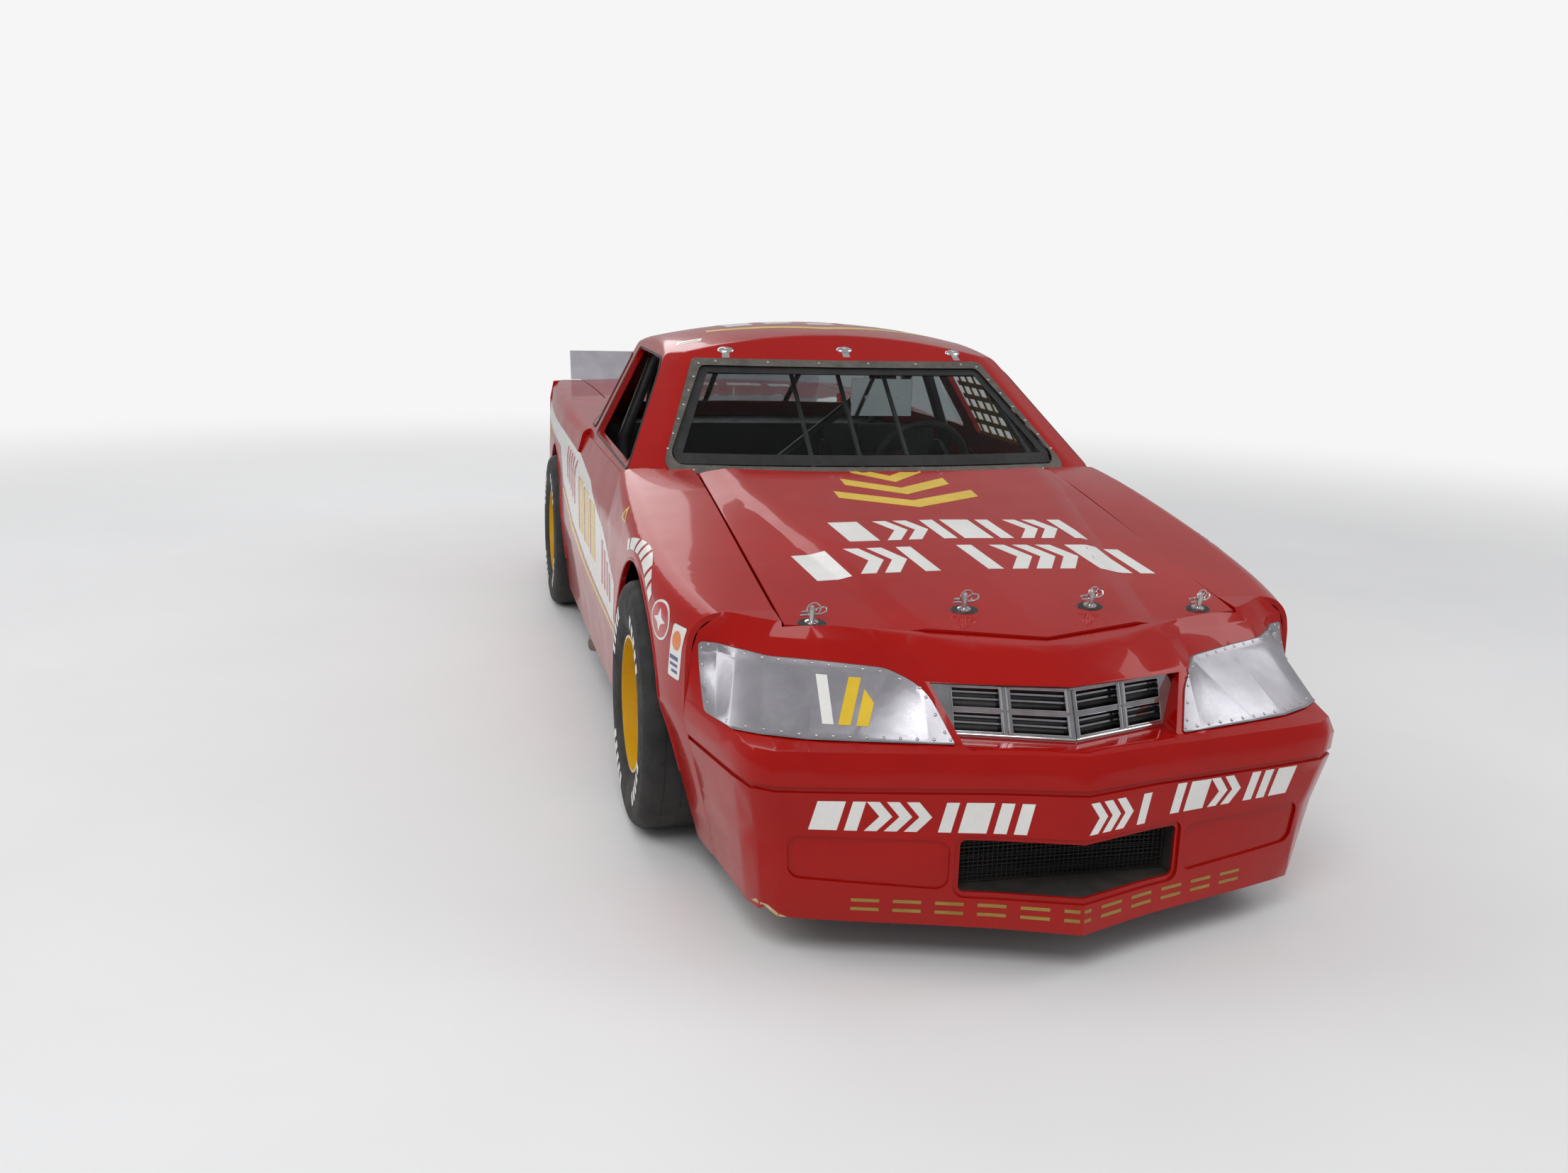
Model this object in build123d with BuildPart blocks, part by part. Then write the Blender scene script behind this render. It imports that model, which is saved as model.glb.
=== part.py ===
from build123d import *
import os
from math import cos, radians, sin

os.makedirs("parts", exist_ok=True)

# A full-size stock car, in millimetres, nose towards -Y and the driver's side towards +X.
# A station is the distance behind the nose tip, and y() turns it into a place.
body_length = 5120
wheelbase = 2794
front_axle = 1115
rear_axle = front_axle + wheelbase
half_track = 752


def y(station):
    return station - body_length / 2


# Wheels and tyres
wheel_radius = 350
tyre_width = 284
bead_radius = 194
rim_width = 241
rim_wall = 8
disc_wall = 10
window_count = 8
hub_radius = 62
stub_radius = 26
bearing_clearance = 0.05

# Body walls, gaps and shared lines
skin = 14
door_wall = 26
lid_wall = 18
lid_gap = 6
panel_gap = 0.3
seat_gap = 0.3
dam_foot = 105
rocker_foot = 160
crease_height = 484
arch_radius = 405
nose_end = 560
door_front = 1764
door_back = 2960
quarter_end = 4950
hood_half = 603
hood_front = 290
hood_front_sweep = 0.30
hood_back = 1624
deck_half = 637
deck_front = 3890
deck_back = 5048

# Greenhouse
belt_height = 905
rail_height = 1262
roof_top = 1372
roof_peak = 2640
roof_across_radius = 2650
roof_along_radius = 2350
roof_edge_radius = 45
greenhouse_wall = 22

# Chassis
floor_wall = 4
firewall_station = 1570
bulkhead_station = 3440
rail_width = 76
rail_depth = 102
front_rail_place = 400
cage_tube_radius = 22

# Spans of stations, or of places across the car, that a cutting shape runs through
nose_cut = (-20, 290)
windshield_cut = (1500, 2400)
rear_glass_cut = (3050, 3990)
tail_cut = (5000, 5200)
whole_width = (-1000, 1000)


def mirrored(points):
    # a closed outline from its half on +X, first point on the centre line
    return [(-px, py) for px, py in points[:0:-1]] + list(points)


def strip_between(outside, inside):
    # a closed outline of a wall from its outer line and its inner line
    return list(outside) + list(reversed(inside))


def cross_sections(rows, make_outline, make_radii):
    # one cross-section of a body panel at each row's station
    faces = []
    for row in rows:
        with BuildSketch(Plane.XZ.offset(-y(row[0]))) as section:
            with BuildLine():
                FilletPolyline(*make_outline(*row), radius=make_radii(*row), close=True)
            make_face()
        faces.append(section.sketch)
    return faces


# Nose levels: height, then (x, station) pairs from the centre crease to the side, then the side's end
nose_levels = (
    (105, (0, 0), (190, 73), (335, 118), (500, 166), (600, 198), (654, 218), (688, 258), (708, 324), 732),
    (300, (0, 14), (190, 75), (335, 112), (500, 151), (600, 178), (662, 196), (708, 230), (738, 300), 778),
    (425, (0, 20), (195, 70), (335, 96), (500, 128), (600, 148), (684, 168), (732, 205), (755, 285), 808),
    (484, (0, 24), (195, 68), (335, 94), (500, 128), (600, 148), (690, 168), (740, 208), (764, 290), 822),
    (518, (0, 36), (195, 80), (335, 106), (500, 140), (600, 160), (684, 182), (730, 222), (756, 300), 820),
    (530, (0, 72), (190, 110), (335, 148), (500, 194), (600, 226), (700, 285), (752, 330), (772, 400), 819),
    (650, (0, 148), (190, 196), (335, 238), (390, 298), (538, 372), (660, 420), (712, 470), (745, 530), 804),
    (700, (0, 222), (190, 268), (335, 330), (390, 370), (538, 426), (640, 470), (700, 510), (745, 545), 790),
    (760, (0, 304), (190, 366), (300, 414), (420, 442), (538, 474), (605, 492), (650, 520), (690, 550), 712),
)
seam_front = (262, 716)
seam_slope = 0.1
mouth_low = 500
nose_overlap = 60


def nose_solid(inset):
    with BuildPart() as solid:
        for pair in zip(nose_levels[:-1], nose_levels[1:]):
            for height, *half, side_end in pair:
                drop = inset if height > mouth_low else 0
                outline = [(px, y(station)) for px, station in half]
                outline += [(side_end, y(nose_end)), (side_end, y(nose_end + nose_overlap))]
                with BuildSketch(Plane.XY.offset(height - drop)):
                    Polygon(*mirrored(outline), align=None)
                    if inset:
                        offset(amount=-inset, kind=Kind.INTERSECTION)
            loft(ruled=True)
        seam = (seam_front[0], seam_front[1] - inset)
        seam_back = (nose_end + nose_overlap, seam[1] + seam_slope * (nose_end + nose_overlap - seam[0]))
        with BuildSketch(Plane.YZ.offset(-body_length)):
            Polygon((y(-100), 0), (y(-100), seam[1]), (y(seam[0]), seam[1]), (y(seam_back[0]), seam_back[1]),
                    (y(seam_back[0]), 0), align=None)
        extrude(amount=2 * body_length, mode=Mode.INTERSECT)
    return solid.part


def front_prism(outline, corner, near, far):
    # the front view's outline run from one station to another; one corner radius, or one for each point
    radii = corner if isinstance(corner, tuple) else (corner,) * len(outline)
    with BuildPart() as prism:
        with BuildSketch(Plane.XZ.offset(-y(near))):
            with BuildLine():
                FilletPolyline(*outline, radius=radii, close=True)
            make_face()
        extrude(amount=near - far)
    return prism.part


def side_prism(outline, corner, near, far):
    # a solid through the side view's outline, between two places across the car
    with BuildPart() as prism:
        with BuildSketch(Plane.YZ.offset(near)) as view:
            Polygon(*[(y(station), height) for station, height in outline], align=None)
            fillet(view.vertices(), corner)
        extrude(amount=far - near)
    return prism.part


def grown(outline, amount):
    # the same outline moved outwards from its middle
    middle = (sum(px for px, pz in outline) / len(outline), sum(pz for px, pz in outline) / len(outline))
    return [
        (px + (amount if px > middle[0] else -amount), pz + (amount if pz > middle[1] else -amount))
        for px, pz in outline
    ]


# Nose: one moulded shell with a V crease, a rib, a recessed band, a grille mouth and a lower inlet
inlet_half = 267
inlet_low = 188
inlet_high = 314
inlet_corner = 14
inlet_frame = 13
rebate_depth = 6
recess_half_outline = ((290, 192), (640, 208), (648, 318), (290, 312))
groove_low = 427
groove_height = 14
dam_chip = ((-696, 98), (-650, 98), (-664, 109), (-682, 121))
grille_outline = ((-262, 527), (262, 527), (314, 646), (-314, 646))
flange_wall = 5
plate_wall = 3
plate_outline = ((282, 531), (790, 531), (790, 676), (690, 672), (640, 667), (392, 661), (328, 640))
plate_corners = (2, 2, 12, 2, 2, 140, 88)

nose_outer = nose_solid(0)
nose_rebate = nose_outer - nose_solid(rebate_depth)

with BuildPart() as nose_fascia:
    add(nose_outer)
    add(nose_solid(skin), mode=Mode.SUBTRACT)
    with BuildPart(mode=Mode.PRIVATE) as groove:
        add(nose_rebate)
        with BuildSketch(Plane.XY.offset(groove_low)):
            Rectangle(2 * body_length, 2 * body_length)
        extrude(amount=groove_height, mode=Mode.INTERSECT)
    add(groove.part, mode=Mode.SUBTRACT)
    for side in (-1, 1):
        with BuildPart(mode=Mode.PRIVATE) as recess:
            add(nose_rebate)
            recess_outline = [(side * px, height) for px, height in recess_half_outline]
            add(front_prism(recess_outline, 30, *nose_cut), mode=Mode.INTERSECT)
        add(recess.part, mode=Mode.SUBTRACT)
    inlet_outline = (
        (-inlet_half, inlet_low),
        (inlet_half, inlet_low),
        (inlet_half, inlet_high),
        (-inlet_half, inlet_high),
    )
    with BuildPart(mode=Mode.PRIVATE) as inlet_surround:
        add(nose_rebate)
        surround_outline = grown(inlet_outline, inlet_frame)
        add(front_prism(surround_outline, inlet_corner + inlet_frame, *nose_cut), mode=Mode.INTERSECT)
    add(inlet_surround.part, mode=Mode.SUBTRACT)
    add(front_prism(inlet_outline, inlet_corner, *nose_cut), mode=Mode.SUBTRACT)
    add(front_prism(dam_chip, 2, *nose_cut), mode=Mode.SUBTRACT)
    with BuildPart(mode=Mode.PRIVATE) as mouth_flange:
        add(front_prism(grown(grille_outline, flange_wall), 1, *nose_cut))
        add(nose_outer, mode=Mode.INTERSECT)
    add(mouth_flange.part)
    add(front_prism(grille_outline, 1, *nose_cut), mode=Mode.SUBTRACT)
    with BuildSketch(Plane.XY.offset(600)):
        with BuildLine():
            Polyline((-hood_half, y(hood_front) + hood_front_sweep * hood_half), (0, y(hood_front)),
                     (hood_half, y(hood_front) + hood_front_sweep * hood_half))
            Polyline((hood_half, y(hood_front) + hood_front_sweep * hood_half),
                     (hood_half, y(nose_end + nose_overlap)), (-hood_half, y(nose_end + nose_overlap)),
                     (-hood_half, y(hood_front) + hood_front_sweep * hood_half))
        make_face()
    extrude(amount=200, mode=Mode.SUBTRACT)
    split(bisect_by=Plane.XZ.offset(-y(nose_end) + panel_gap), keep=Keep.TOP)
nose_fascia.part.label = "nose_fascia"
export_step(nose_fascia.part, "parts/nose_fascia.step")

# Grille: a V-shaped chrome frame with four columns and two rows of cells, and fins behind them
grille_levels = ((527 + seat_gap, (0, 104), (262, 194)), (646 - seat_gap, (0, 160), (314, 252)))
grille_rows = ((560, 40), (612, 42))
grille_columns = ((-208, 104), (-75, 124), (75, 124), (208, 104))


def grille_slab(front_inset, depth, shrink):
    with BuildPart() as slab:
        for height, centre, corner in grille_levels:
            near = [(0, y(centre[1] + front_inset)), (corner[0] - shrink, y(corner[1] + front_inset))]
            far = [(px, py + depth) for px, py in near]
            with BuildSketch(Plane.XY.offset(height)):
                Polygon(*strip_between(mirrored(near), mirrored(far)), align=None)
        loft(ruled=True)
    return slab.part


with BuildPart() as grille:
    add(grille_slab(0, 30, 1.2 * seat_gap))
    with BuildSketch(Plane.XZ.offset(-y(60))):
        for place, width in grille_columns:
            for height, tall in grille_rows:
                with Locations((place, height)):
                    Rectangle(width, tall)
    extrude(amount=-300, mode=Mode.SUBTRACT)
    with BuildPart(mode=Mode.PRIVATE) as fins:
        add(grille_slab(14, 12, 20))
        with BuildSketch(Plane.XZ.offset(-y(60))):
            for height, tall in grille_rows:
                with Locations((0, height)):
                    with GridLocations(1, tall / 3, 1, 2):
                        Rectangle(640, 4)
        extrude(amount=-300, mode=Mode.INTERSECT)
    add(fins.part)
    with BuildPart(mode=Mode.PRIVATE) as ribs:
        add(grille_slab(-5, 5, 20))
        with BuildSketch(Plane.XZ.offset(-y(60))):
            for place in (-142, 0, 142):
                with Locations((place - 6, 586), (place + 6, 586)):
                    Rectangle(7, 100)
        extrude(amount=-300, mode=Mode.INTERSECT)
    add(ribs.part)
grille.part.label = "grille"
export_step(grille.part, "parts/grille.step")

with BuildPart() as headlight_covers:
    add(nose_solid(-plate_wall))
    add(nose_outer, mode=Mode.SUBTRACT)
    with BuildPart(mode=Mode.PRIVATE) as plate_cuts:
        for side in (-1, 1):
            side_outline = [(side * px, height) for px, height in plate_outline]
            add(front_prism(side_outline, plate_corners, nose_cut[0], nose_end - panel_gap))
    add(plate_cuts.part, mode=Mode.INTERSECT)
headlight_covers.part.label = "headlight_covers"
export_step(headlight_covers.part, "parts/headlight_covers.step")

# Greenhouse: plan lines at the belt and at the rail, as (x, station) on +X from the front to the back
belt_line = ((0, 1605), (735, 1712), (810, 1764), (806, 2990), (640, 3760), (0, 3862))
rail_line = ((0, 2136), (552, 2196), (614, 2250), (612, 2960), (520, 3190), (0, 3270))


def greenhouse_outline(height):
    share = (height - belt_height) / (rail_height - belt_height)
    return [
        (low[0] + share * (high[0] - low[0]), y(low[1] + share * (high[1] - low[1])))
        for low, high in zip(belt_line, rail_line)
    ]


def greenhouse_solid(inset, bottom, roof_drop):
    # the closed outer form of cabin top: leaning sides, bowed glass and a barrel-crowned roof
    with BuildPart() as solid:
        for height in (bottom, roof_top + 40):
            front, corner, pillar, side, back_corner, back = greenhouse_outline(height)
            with BuildSketch(Plane.XY.offset(height)):
                with BuildLine():
                    ThreePointArc((-corner[0], corner[1]), front, corner)
                    Polyline(corner, pillar, side, back_corner)
                    ThreePointArc(back_corner, back, (-back_corner[0], back_corner[1]))
                    Polyline(*[(-px, py) for px, py in (back_corner, side, pillar, corner)])
                make_face()
                if inset:
                    offset(amount=-inset, kind=Kind.INTERSECTION)
        loft(ruled=True)
        with BuildPart(mode=Mode.PRIVATE) as crown:
            top = roof_top - roof_drop
            half = 1000
            edge = top - roof_across_radius + (roof_across_radius**2 - half**2) ** 0.5
            axis = Axis((0, y(roof_peak), top - roof_along_radius), (1, 0, 0))
            for turn in (-40, 40):
                with BuildSketch(Plane.XZ.offset(-y(roof_peak))):
                    with BuildLine():
                        ThreePointArc((-half, edge), (0, top), (half, edge))
                        Polyline((half, edge), (half, 500), (-half, 500), (-half, edge))
                    make_face()
                revolve(axis=axis, revolution_arc=turn)
        add(crown.part, mode=Mode.INTERSECT)
    return solid.part


greenhouse_outer = greenhouse_solid(0, belt_height - 60, 0)
greenhouse_body = greenhouse_solid(0, belt_height, 0)
windshield_outline = ((-686, 938), (686, 938), (512, 1242), (-512, 1242))
backlight_outline = ((-560, 975), (560, 975), (432, 1232), (-432, 1232))
side_window_outline = ((1800, 925), (2196, 1212), (2290, 1250), (2840, 1256), (2756, 936))
quarter_window_outline = ((2880, 946), (2944, 1222), (3080, 1216), (3390, 975))

with BuildPart() as roof_shell:
    add(greenhouse_body)
    roof_edges = roof_shell.faces().sort_by(Axis.Z)[-1].edges()
    fillet(roof_edges, roof_edge_radius)
    add(greenhouse_solid(greenhouse_wall, belt_height - 60, greenhouse_wall), mode=Mode.SUBTRACT)
    add(front_prism(windshield_outline, 30, *windshield_cut), mode=Mode.SUBTRACT)
    add(front_prism(backlight_outline, 50, *rear_glass_cut), mode=Mode.SUBTRACT)
    add(side_prism(side_window_outline, 28, *whole_width), mode=Mode.SUBTRACT)
    add(side_prism(quarter_window_outline, 24, *whole_width), mode=Mode.SUBTRACT)
roof_shell.part.label = "roof_shell"
export_step(roof_shell.part, "parts/roof_shell.step")


def glass_between(front_inset, back_inset):
    return greenhouse_solid(front_inset, belt_height, front_inset) - greenhouse_solid(
        back_inset, belt_height - 60, back_inset
    )


glass_wall = glass_between(8, 15)

with BuildPart() as windshield:
    add(glass_wall)
    add(front_prism(grown(windshield_outline, -seat_gap), 30, *windshield_cut), mode=Mode.INTERSECT)
windshield.part.label = "windshield"
export_step(windshield.part, "parts/windshield.step")

with BuildPart() as rear_glass:
    add(glass_wall)
    with BuildPart(mode=Mode.PRIVATE) as glass_cuts:
        add(front_prism(grown(backlight_outline, -seat_gap), 50, *rear_glass_cut))
        add(side_prism(grown(quarter_window_outline, -seat_gap), 24, *whole_width))
    add(glass_cuts.part, mode=Mode.INTERSECT)
rear_glass.part.label = "rear_glass"
export_step(rear_glass.part, "parts/rear_glass.step")

# Body sides: station, foot x, crease x, then upper side, shoulder and seam as (x, height), shoulder radius
fender_rows = (
    (560, 732, 822, (819, 650), (804, 742), (hood_half, 744), 80),
    (830, 762, 868, (864, 690), (852, 784), (hood_half, 790), 75),
    (1115, 778, 874, (871, 745), (862, 832), (hood_half, 842), 70),
    (1450, 800, 873, (869, 765), (850, 886), (hood_half, 901), 60),
    (1764, 822, 872, (866, 770), (826, 926), (hood_half, 938), 40),
)
quarter_rows = (
    (2960, 829, 872, (866, 770), (824, 926), (deck_half, 936), 34),
    (3450, 829, 871, (865, 785), (838, 946), (deck_half, 952), 50),
    (3909, 822, 867, (861, 800), (840, 963), (deck_half, 969), 56),
    (4450, 800, 846, (840, 806), (818, 972), (deck_half, 977), 56),
    (4950, 772, 812, (806, 808), (788, 966), (deck_half, 972), 56),
)
door_rows = (
    (1764, 822, 872, (866, 770), (815, 905)),
    (2360, 829, 873, (867, 770), (813, 905)),
    (2960, 829, 872, (866, 770), (812, 905)),
)


def wing_outline(station, foot, crease, upper, shoulder, seam, radius):
    outside = ((foot, dam_foot), (crease, crease_height), upper, shoulder, seam)
    inside = (
        (foot - skin, dam_foot),
        (crease - skin, crease_height),
        (upper[0] - skin, upper[1]),
        (shoulder[0] - skin, shoulder[1] - skin),
        (seam[0], seam[1] - skin),
    )
    return strip_between(outside, inside)


def wing_radii(station, foot, crease, upper, shoulder, seam, radius):
    return (0, 0, 150, radius, 0, 0, radius - skin, 150, 0, 0)


def door_outline(station, foot, crease, upper, sill):
    outside = ((foot, dam_foot), (crease, crease_height), upper, sill)
    inside = [(px - door_wall, height) for px, height in outside]
    return strip_between(outside, inside)


def door_radii(station, foot, crease, upper, sill):
    return (0, 0, 150, 0, 0, 150, 0, 0)


with BuildPart() as wheel_arches:
    for station in (front_axle, rear_axle):
        with BuildSketch(Plane.YZ.offset(-1000)):
            with Locations((y(station), wheel_radius)):
                Circle(arch_radius)
                with Locations((0, -wheel_radius)):
                    Rectangle(2 * arch_radius * 0.985, 2 * wheel_radius)
        extrude(amount=2000)

with BuildPart() as rocker_cut:
    with BuildSketch(Plane.XY):
        with Locations((0, y(front_axle + quarter_end / 2))):
            Rectangle(4000, quarter_end)
    extrude(amount=rocker_foot)

with BuildPart() as fender_left:
    loft(sections=cross_sections(fender_rows, wing_outline, wing_radii))
    add(wheel_arches.part, mode=Mode.SUBTRACT)
    add(rocker_cut.part, mode=Mode.SUBTRACT)
    add(greenhouse_outer, mode=Mode.SUBTRACT)

with BuildPart() as door_left:
    loft(sections=cross_sections(door_rows, door_outline, door_radii))
    add(rocker_cut.part, mode=Mode.SUBTRACT)

with BuildPart() as quarter_left:
    loft(sections=cross_sections(quarter_rows, wing_outline, wing_radii))
    add(wheel_arches.part, mode=Mode.SUBTRACT)
    add(rocker_cut.part, mode=Mode.SUBTRACT)
    add(greenhouse_outer, mode=Mode.SUBTRACT)

for name, panel in (("fender", fender_left.part), ("door", door_left.part), ("quarter", quarter_left.part)):
    other = panel.mirror(Plane.YZ)
    panel.label = f"{name}_left"
    other.label = f"{name}_right"
    export_step(panel, f"parts/{name}_left.step")
    export_step(other, f"parts/{name}_right.step")

with BuildPart() as windshield_frame:
    add(greenhouse_solid(-5, belt_height + 1, 0) - greenhouse_outer)
    add(front_prism(grown(windshield_outline, 16), 30, *windshield_cut), mode=Mode.INTERSECT)
    add(front_prism(grown(windshield_outline, -6), 30, *windshield_cut), mode=Mode.SUBTRACT)
    add(fender_left.part, mode=Mode.SUBTRACT)
    add(fender_left.part.mirror(Plane.YZ), mode=Mode.SUBTRACT)
windshield_frame.part.label = "windshield_frame"
export_step(windshield_frame.part, "parts/windshield_frame.step")

# Lid hinges: a pin through a plate with a round end
lid_pin_radius = 6
lid_lug_radius = 13
lug_wall = 8
hood_pivot = (1642, 918)
hood_lug_places = (-560, 560)


def pivot_lug(place, wall, pivot, foot):
    # a plate with a round end about a lid's pivot, reaching to its foot, as (station, height) pairs
    with BuildPart() as lug:
        with BuildSketch(Plane.YZ.offset(place - wall / 2)):
            with Locations((y(pivot[0]), pivot[1])):
                Circle(lid_lug_radius)
            with BuildLine():
                Polyline(*[(y(station), height) for station, height in foot + foot[:1]])
            make_face()
        extrude(amount=wall)
    return lug.part


# Hood: station, side height, then the bulge's half width; the middle row gives it its long crown
hood_rows = ((240, 687, 241), (950, 816, 384), (1700, 944, 535))
hood_edge = hood_half - lid_gap
bulge_slope = 58
bulge_rise = 14

with BuildPart() as hood:
    for station, side, bulge in hood_rows:
        shelf = (bulge + bulge_slope, side + 22 - bulge_rise)
        top = ((0, side + 28), (bulge, side + 22), shelf, (hood_edge, side))
        with BuildSketch(Plane.XZ.offset(-y(station))):
            outside = mirrored(top)
            Polygon(*strip_between(outside, [(px, pz - lid_wall) for px, pz in outside]), align=None)
    loft()
    with BuildSketch(Plane.XY.offset(400)):
        with BuildLine():
            front = y(hood_front + lid_gap)
            corner = front + hood_front_sweep * hood_edge
            Polyline((-hood_edge, y(hood_back)), (-hood_edge, corner), (0, front), (hood_edge, corner))
            Line((hood_edge, corner), (hood_edge, y(hood_back)))
            ThreePointArc((hood_edge, y(hood_back)), (0, y(hood_back - 76)), (-hood_edge, y(hood_back)))
        make_face()
    extrude(amount=700, mode=Mode.INTERSECT)
    for place in hood_lug_places:
        foot = ((1560, 905), (1610, 922), (1648, 908), (1640, 905), (1610, 900))
        add(pivot_lug(place, lug_wall, hood_pivot, foot))
        with BuildSketch(Plane.YZ.offset(place - lug_wall)):
            with Locations((y(hood_pivot[0]), hood_pivot[1])):
                Circle(lid_pin_radius + bearing_clearance)
        extrude(amount=2 * lug_wall, mode=Mode.SUBTRACT)
hood.part.label = "hood"
export_step(hood.part, "parts/hood.step")

cowl_rise = ((1480, 862), (1660, belt_height - seat_gap), (1700, belt_height - seat_gap))
cowl_wall = 5
with BuildPart() as cowl_panel:
    with BuildSketch(Plane.YZ.offset(-hood_half + panel_gap)):
        top = [(y(station), height) for station, height in cowl_rise]
        Polygon(*strip_between(top, [(py, pz - cowl_wall) for py, pz in top]), align=None)
    extrude(amount=2 * (hood_half - panel_gap))
    for place in hood_lug_places:
        foot = ((1620, 890), (1664, 902), (1650, 920), (1634, 922))
        for side in (-1, 1):
            add(pivot_lug(place + side * (lug_wall + seat_gap), lug_wall, hood_pivot, foot))
        with BuildSketch(Plane.YZ.offset(place - lug_wall)):
            with Locations((y(hood_pivot[0]), hood_pivot[1])):
                Circle(lid_pin_radius)
        extrude(amount=2 * lug_wall)
cowl_panel.part.label = "cowl_panel"
export_step(cowl_panel.part, "parts/cowl_panel.step")

# Deck: station, side height; the arc over it rises at the centre line
deck_rows = ((3600, 958), (3909, 969), (4450, 977), (5090, 967))
deck_edge = deck_half - lid_gap
deck_pivot = (3893, 988)
deck_lug_places = (-500, 500)
deck_crown = 14


def deck_sections(edge, wall):
    faces = []
    for station, side in deck_rows:
        with BuildSketch(Plane.XZ.offset(-y(station))) as section:
            with BuildLine():
                ThreePointArc((-edge, side), (0, side + deck_crown), (edge, side))
                Line((edge, side), (edge, side - wall))
                ThreePointArc((edge, side - wall), (0, side + deck_crown - wall), (-edge, side - wall))
                Line((-edge, side - wall), (-edge, side))
            make_face()
        faces.append(section.sketch)
    return faces


with BuildPart() as decklid:
    loft(sections=deck_sections(deck_edge, lid_wall))
    with BuildSketch(Plane.XY.offset(800)):
        with Locations((0, (y(deck_front + lid_gap) + y(deck_back)) / 2)):
            Rectangle(3 * deck_half, deck_back - deck_front - lid_gap)
    extrude(amount=400, mode=Mode.INTERSECT)
    for place in deck_lug_places:
        foot = ((3896, 980), (3905, 965), (3960, 968), (3960, 978), (3904, 994))
        add(pivot_lug(place, lug_wall, deck_pivot, foot))
        with BuildSketch(Plane.YZ.offset(place - lug_wall)):
            with Locations((y(deck_pivot[0]), deck_pivot[1])):
                Circle(lid_pin_radius + bearing_clearance)
        extrude(amount=2 * lug_wall, mode=Mode.SUBTRACT)
decklid.part.label = "decklid"
export_step(decklid.part, "parts/decklid.step")

with BuildPart() as rear_filler:
    loft(sections=deck_sections(deck_half - panel_gap, skin))
    with BuildSketch(Plane.XY.offset(800)):
        with Locations((0, y(deck_front) - 200)):
            Rectangle(3 * deck_half, 400)
    extrude(amount=400, mode=Mode.INTERSECT)
    add(greenhouse_outer, mode=Mode.SUBTRACT)
    for place in deck_lug_places:
        foot = ((3890, 980), (3881, 965), (3830, 964), (3830, 974), (3882, 994))
        for side in (-1, 1):
            add(pivot_lug(place + side * (lug_wall + seat_gap), lug_wall, deck_pivot, foot))
        with BuildSketch(Plane.YZ.offset(place - lug_wall)):
            with Locations((y(deck_pivot[0]), deck_pivot[1])):
                Circle(lid_pin_radius)
        extrude(amount=2 * lug_wall)
rear_filler.part.label = "rear_filler"
export_step(rear_filler.part, "parts/rear_filler.step")

spoiler_height = 150
spoiler_half = 690
with BuildPart() as spoiler:
    with BuildSketch(Plane.YZ.offset(-spoiler_half)):
        base = y(deck_back - 62)
        tip = 972 + spoiler_height
        Polygon((base, 960), (base + 5, 960), (base + 70, tip), (base + 65, tip), align=None)
    extrude(amount=2 * spoiler_half)
    for place in (-560, -190, 190, 560):
        with BuildSketch(Plane.YZ.offset(place - 2)):
            Polygon((base + 4, 962), (base + 58, 962), (base + 50, 1078), align=None)
        extrude(amount=4)
    add(decklid.part, mode=Mode.SUBTRACT)
    with BuildSketch(Plane.XY.offset(900)):
        Rectangle(3 * deck_half, 2 * body_length)
    extrude(amount=72, mode=Mode.SUBTRACT)
spoiler.part.label = "spoiler"
export_step(spoiler.part, "parts/spoiler.step")

# Tail: height, back at the centre line, corner x, then x where it meets the quarters
tail_levels = (
    (262, 5080, 690, 772),
    (420, 5112, 745, 800),
    (470, 5120, 758, 810),
    (620, 5120, 758, 810),
    (652, 5104, 750, 809),
    (880, 5086, 738, 805),
    (966, 5078, 726, 788),
)
lamp_outline = ((-728, 690), (728, 690), (716, 862), (-716, 862))


def tail_solid(inset):
    with BuildPart() as solid:
        for pair in zip(tail_levels[:-1], tail_levels[1:]):
            for height, back, corner, end in pair:
                drop = inset if height == tail_levels[-1][0] else 0
                with BuildSketch(Plane.XY.offset(height - drop)):
                    with BuildLine():
                        ThreePointArc((corner, y(back - 45)), (0, y(back)), (-corner, y(back - 45)))
                        Polyline((-corner, y(back - 45)), (-end, y(quarter_end)),
                                 (-end, y(quarter_end - 60)))
                        Line((-end, y(quarter_end - 60)), (end, y(quarter_end - 60)))
                        Polyline((end, y(quarter_end - 60)), (end, y(quarter_end)), (corner, y(back - 45)))
                    make_face()
                    if inset:
                        offset(amount=-inset, kind=Kind.INTERSECTION)
            loft(ruled=True)
    return solid.part


tail_outer = tail_solid(0)
with BuildPart() as tail_panel:
    add(tail_outer)
    with BuildSketch(Plane.XY.offset(200)):
        with Locations((0, y(quarter_end + panel_gap) - 500)):
            Rectangle(3 * deck_half, 1000)
    extrude(amount=900, mode=Mode.SUBTRACT)
    add(tail_solid(skin), mode=Mode.SUBTRACT)
    with BuildSketch(Plane.XY.offset(930)):
        with Locations((0, y(deck_back + lid_gap) - 200)):
            Rectangle(2 * deck_half, 400)
    extrude(amount=100, mode=Mode.SUBTRACT)
    with BuildPart(mode=Mode.PRIVATE) as lamp_recess:
        add(tail_outer)
        add(tail_solid(9), mode=Mode.SUBTRACT)
        add(front_prism(lamp_outline, 12, *tail_cut), mode=Mode.INTERSECT)
    add(lamp_recess.part, mode=Mode.SUBTRACT)
tail_panel.part.label = "tail_panel"
export_step(tail_panel.part, "parts/tail_panel.step")

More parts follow.
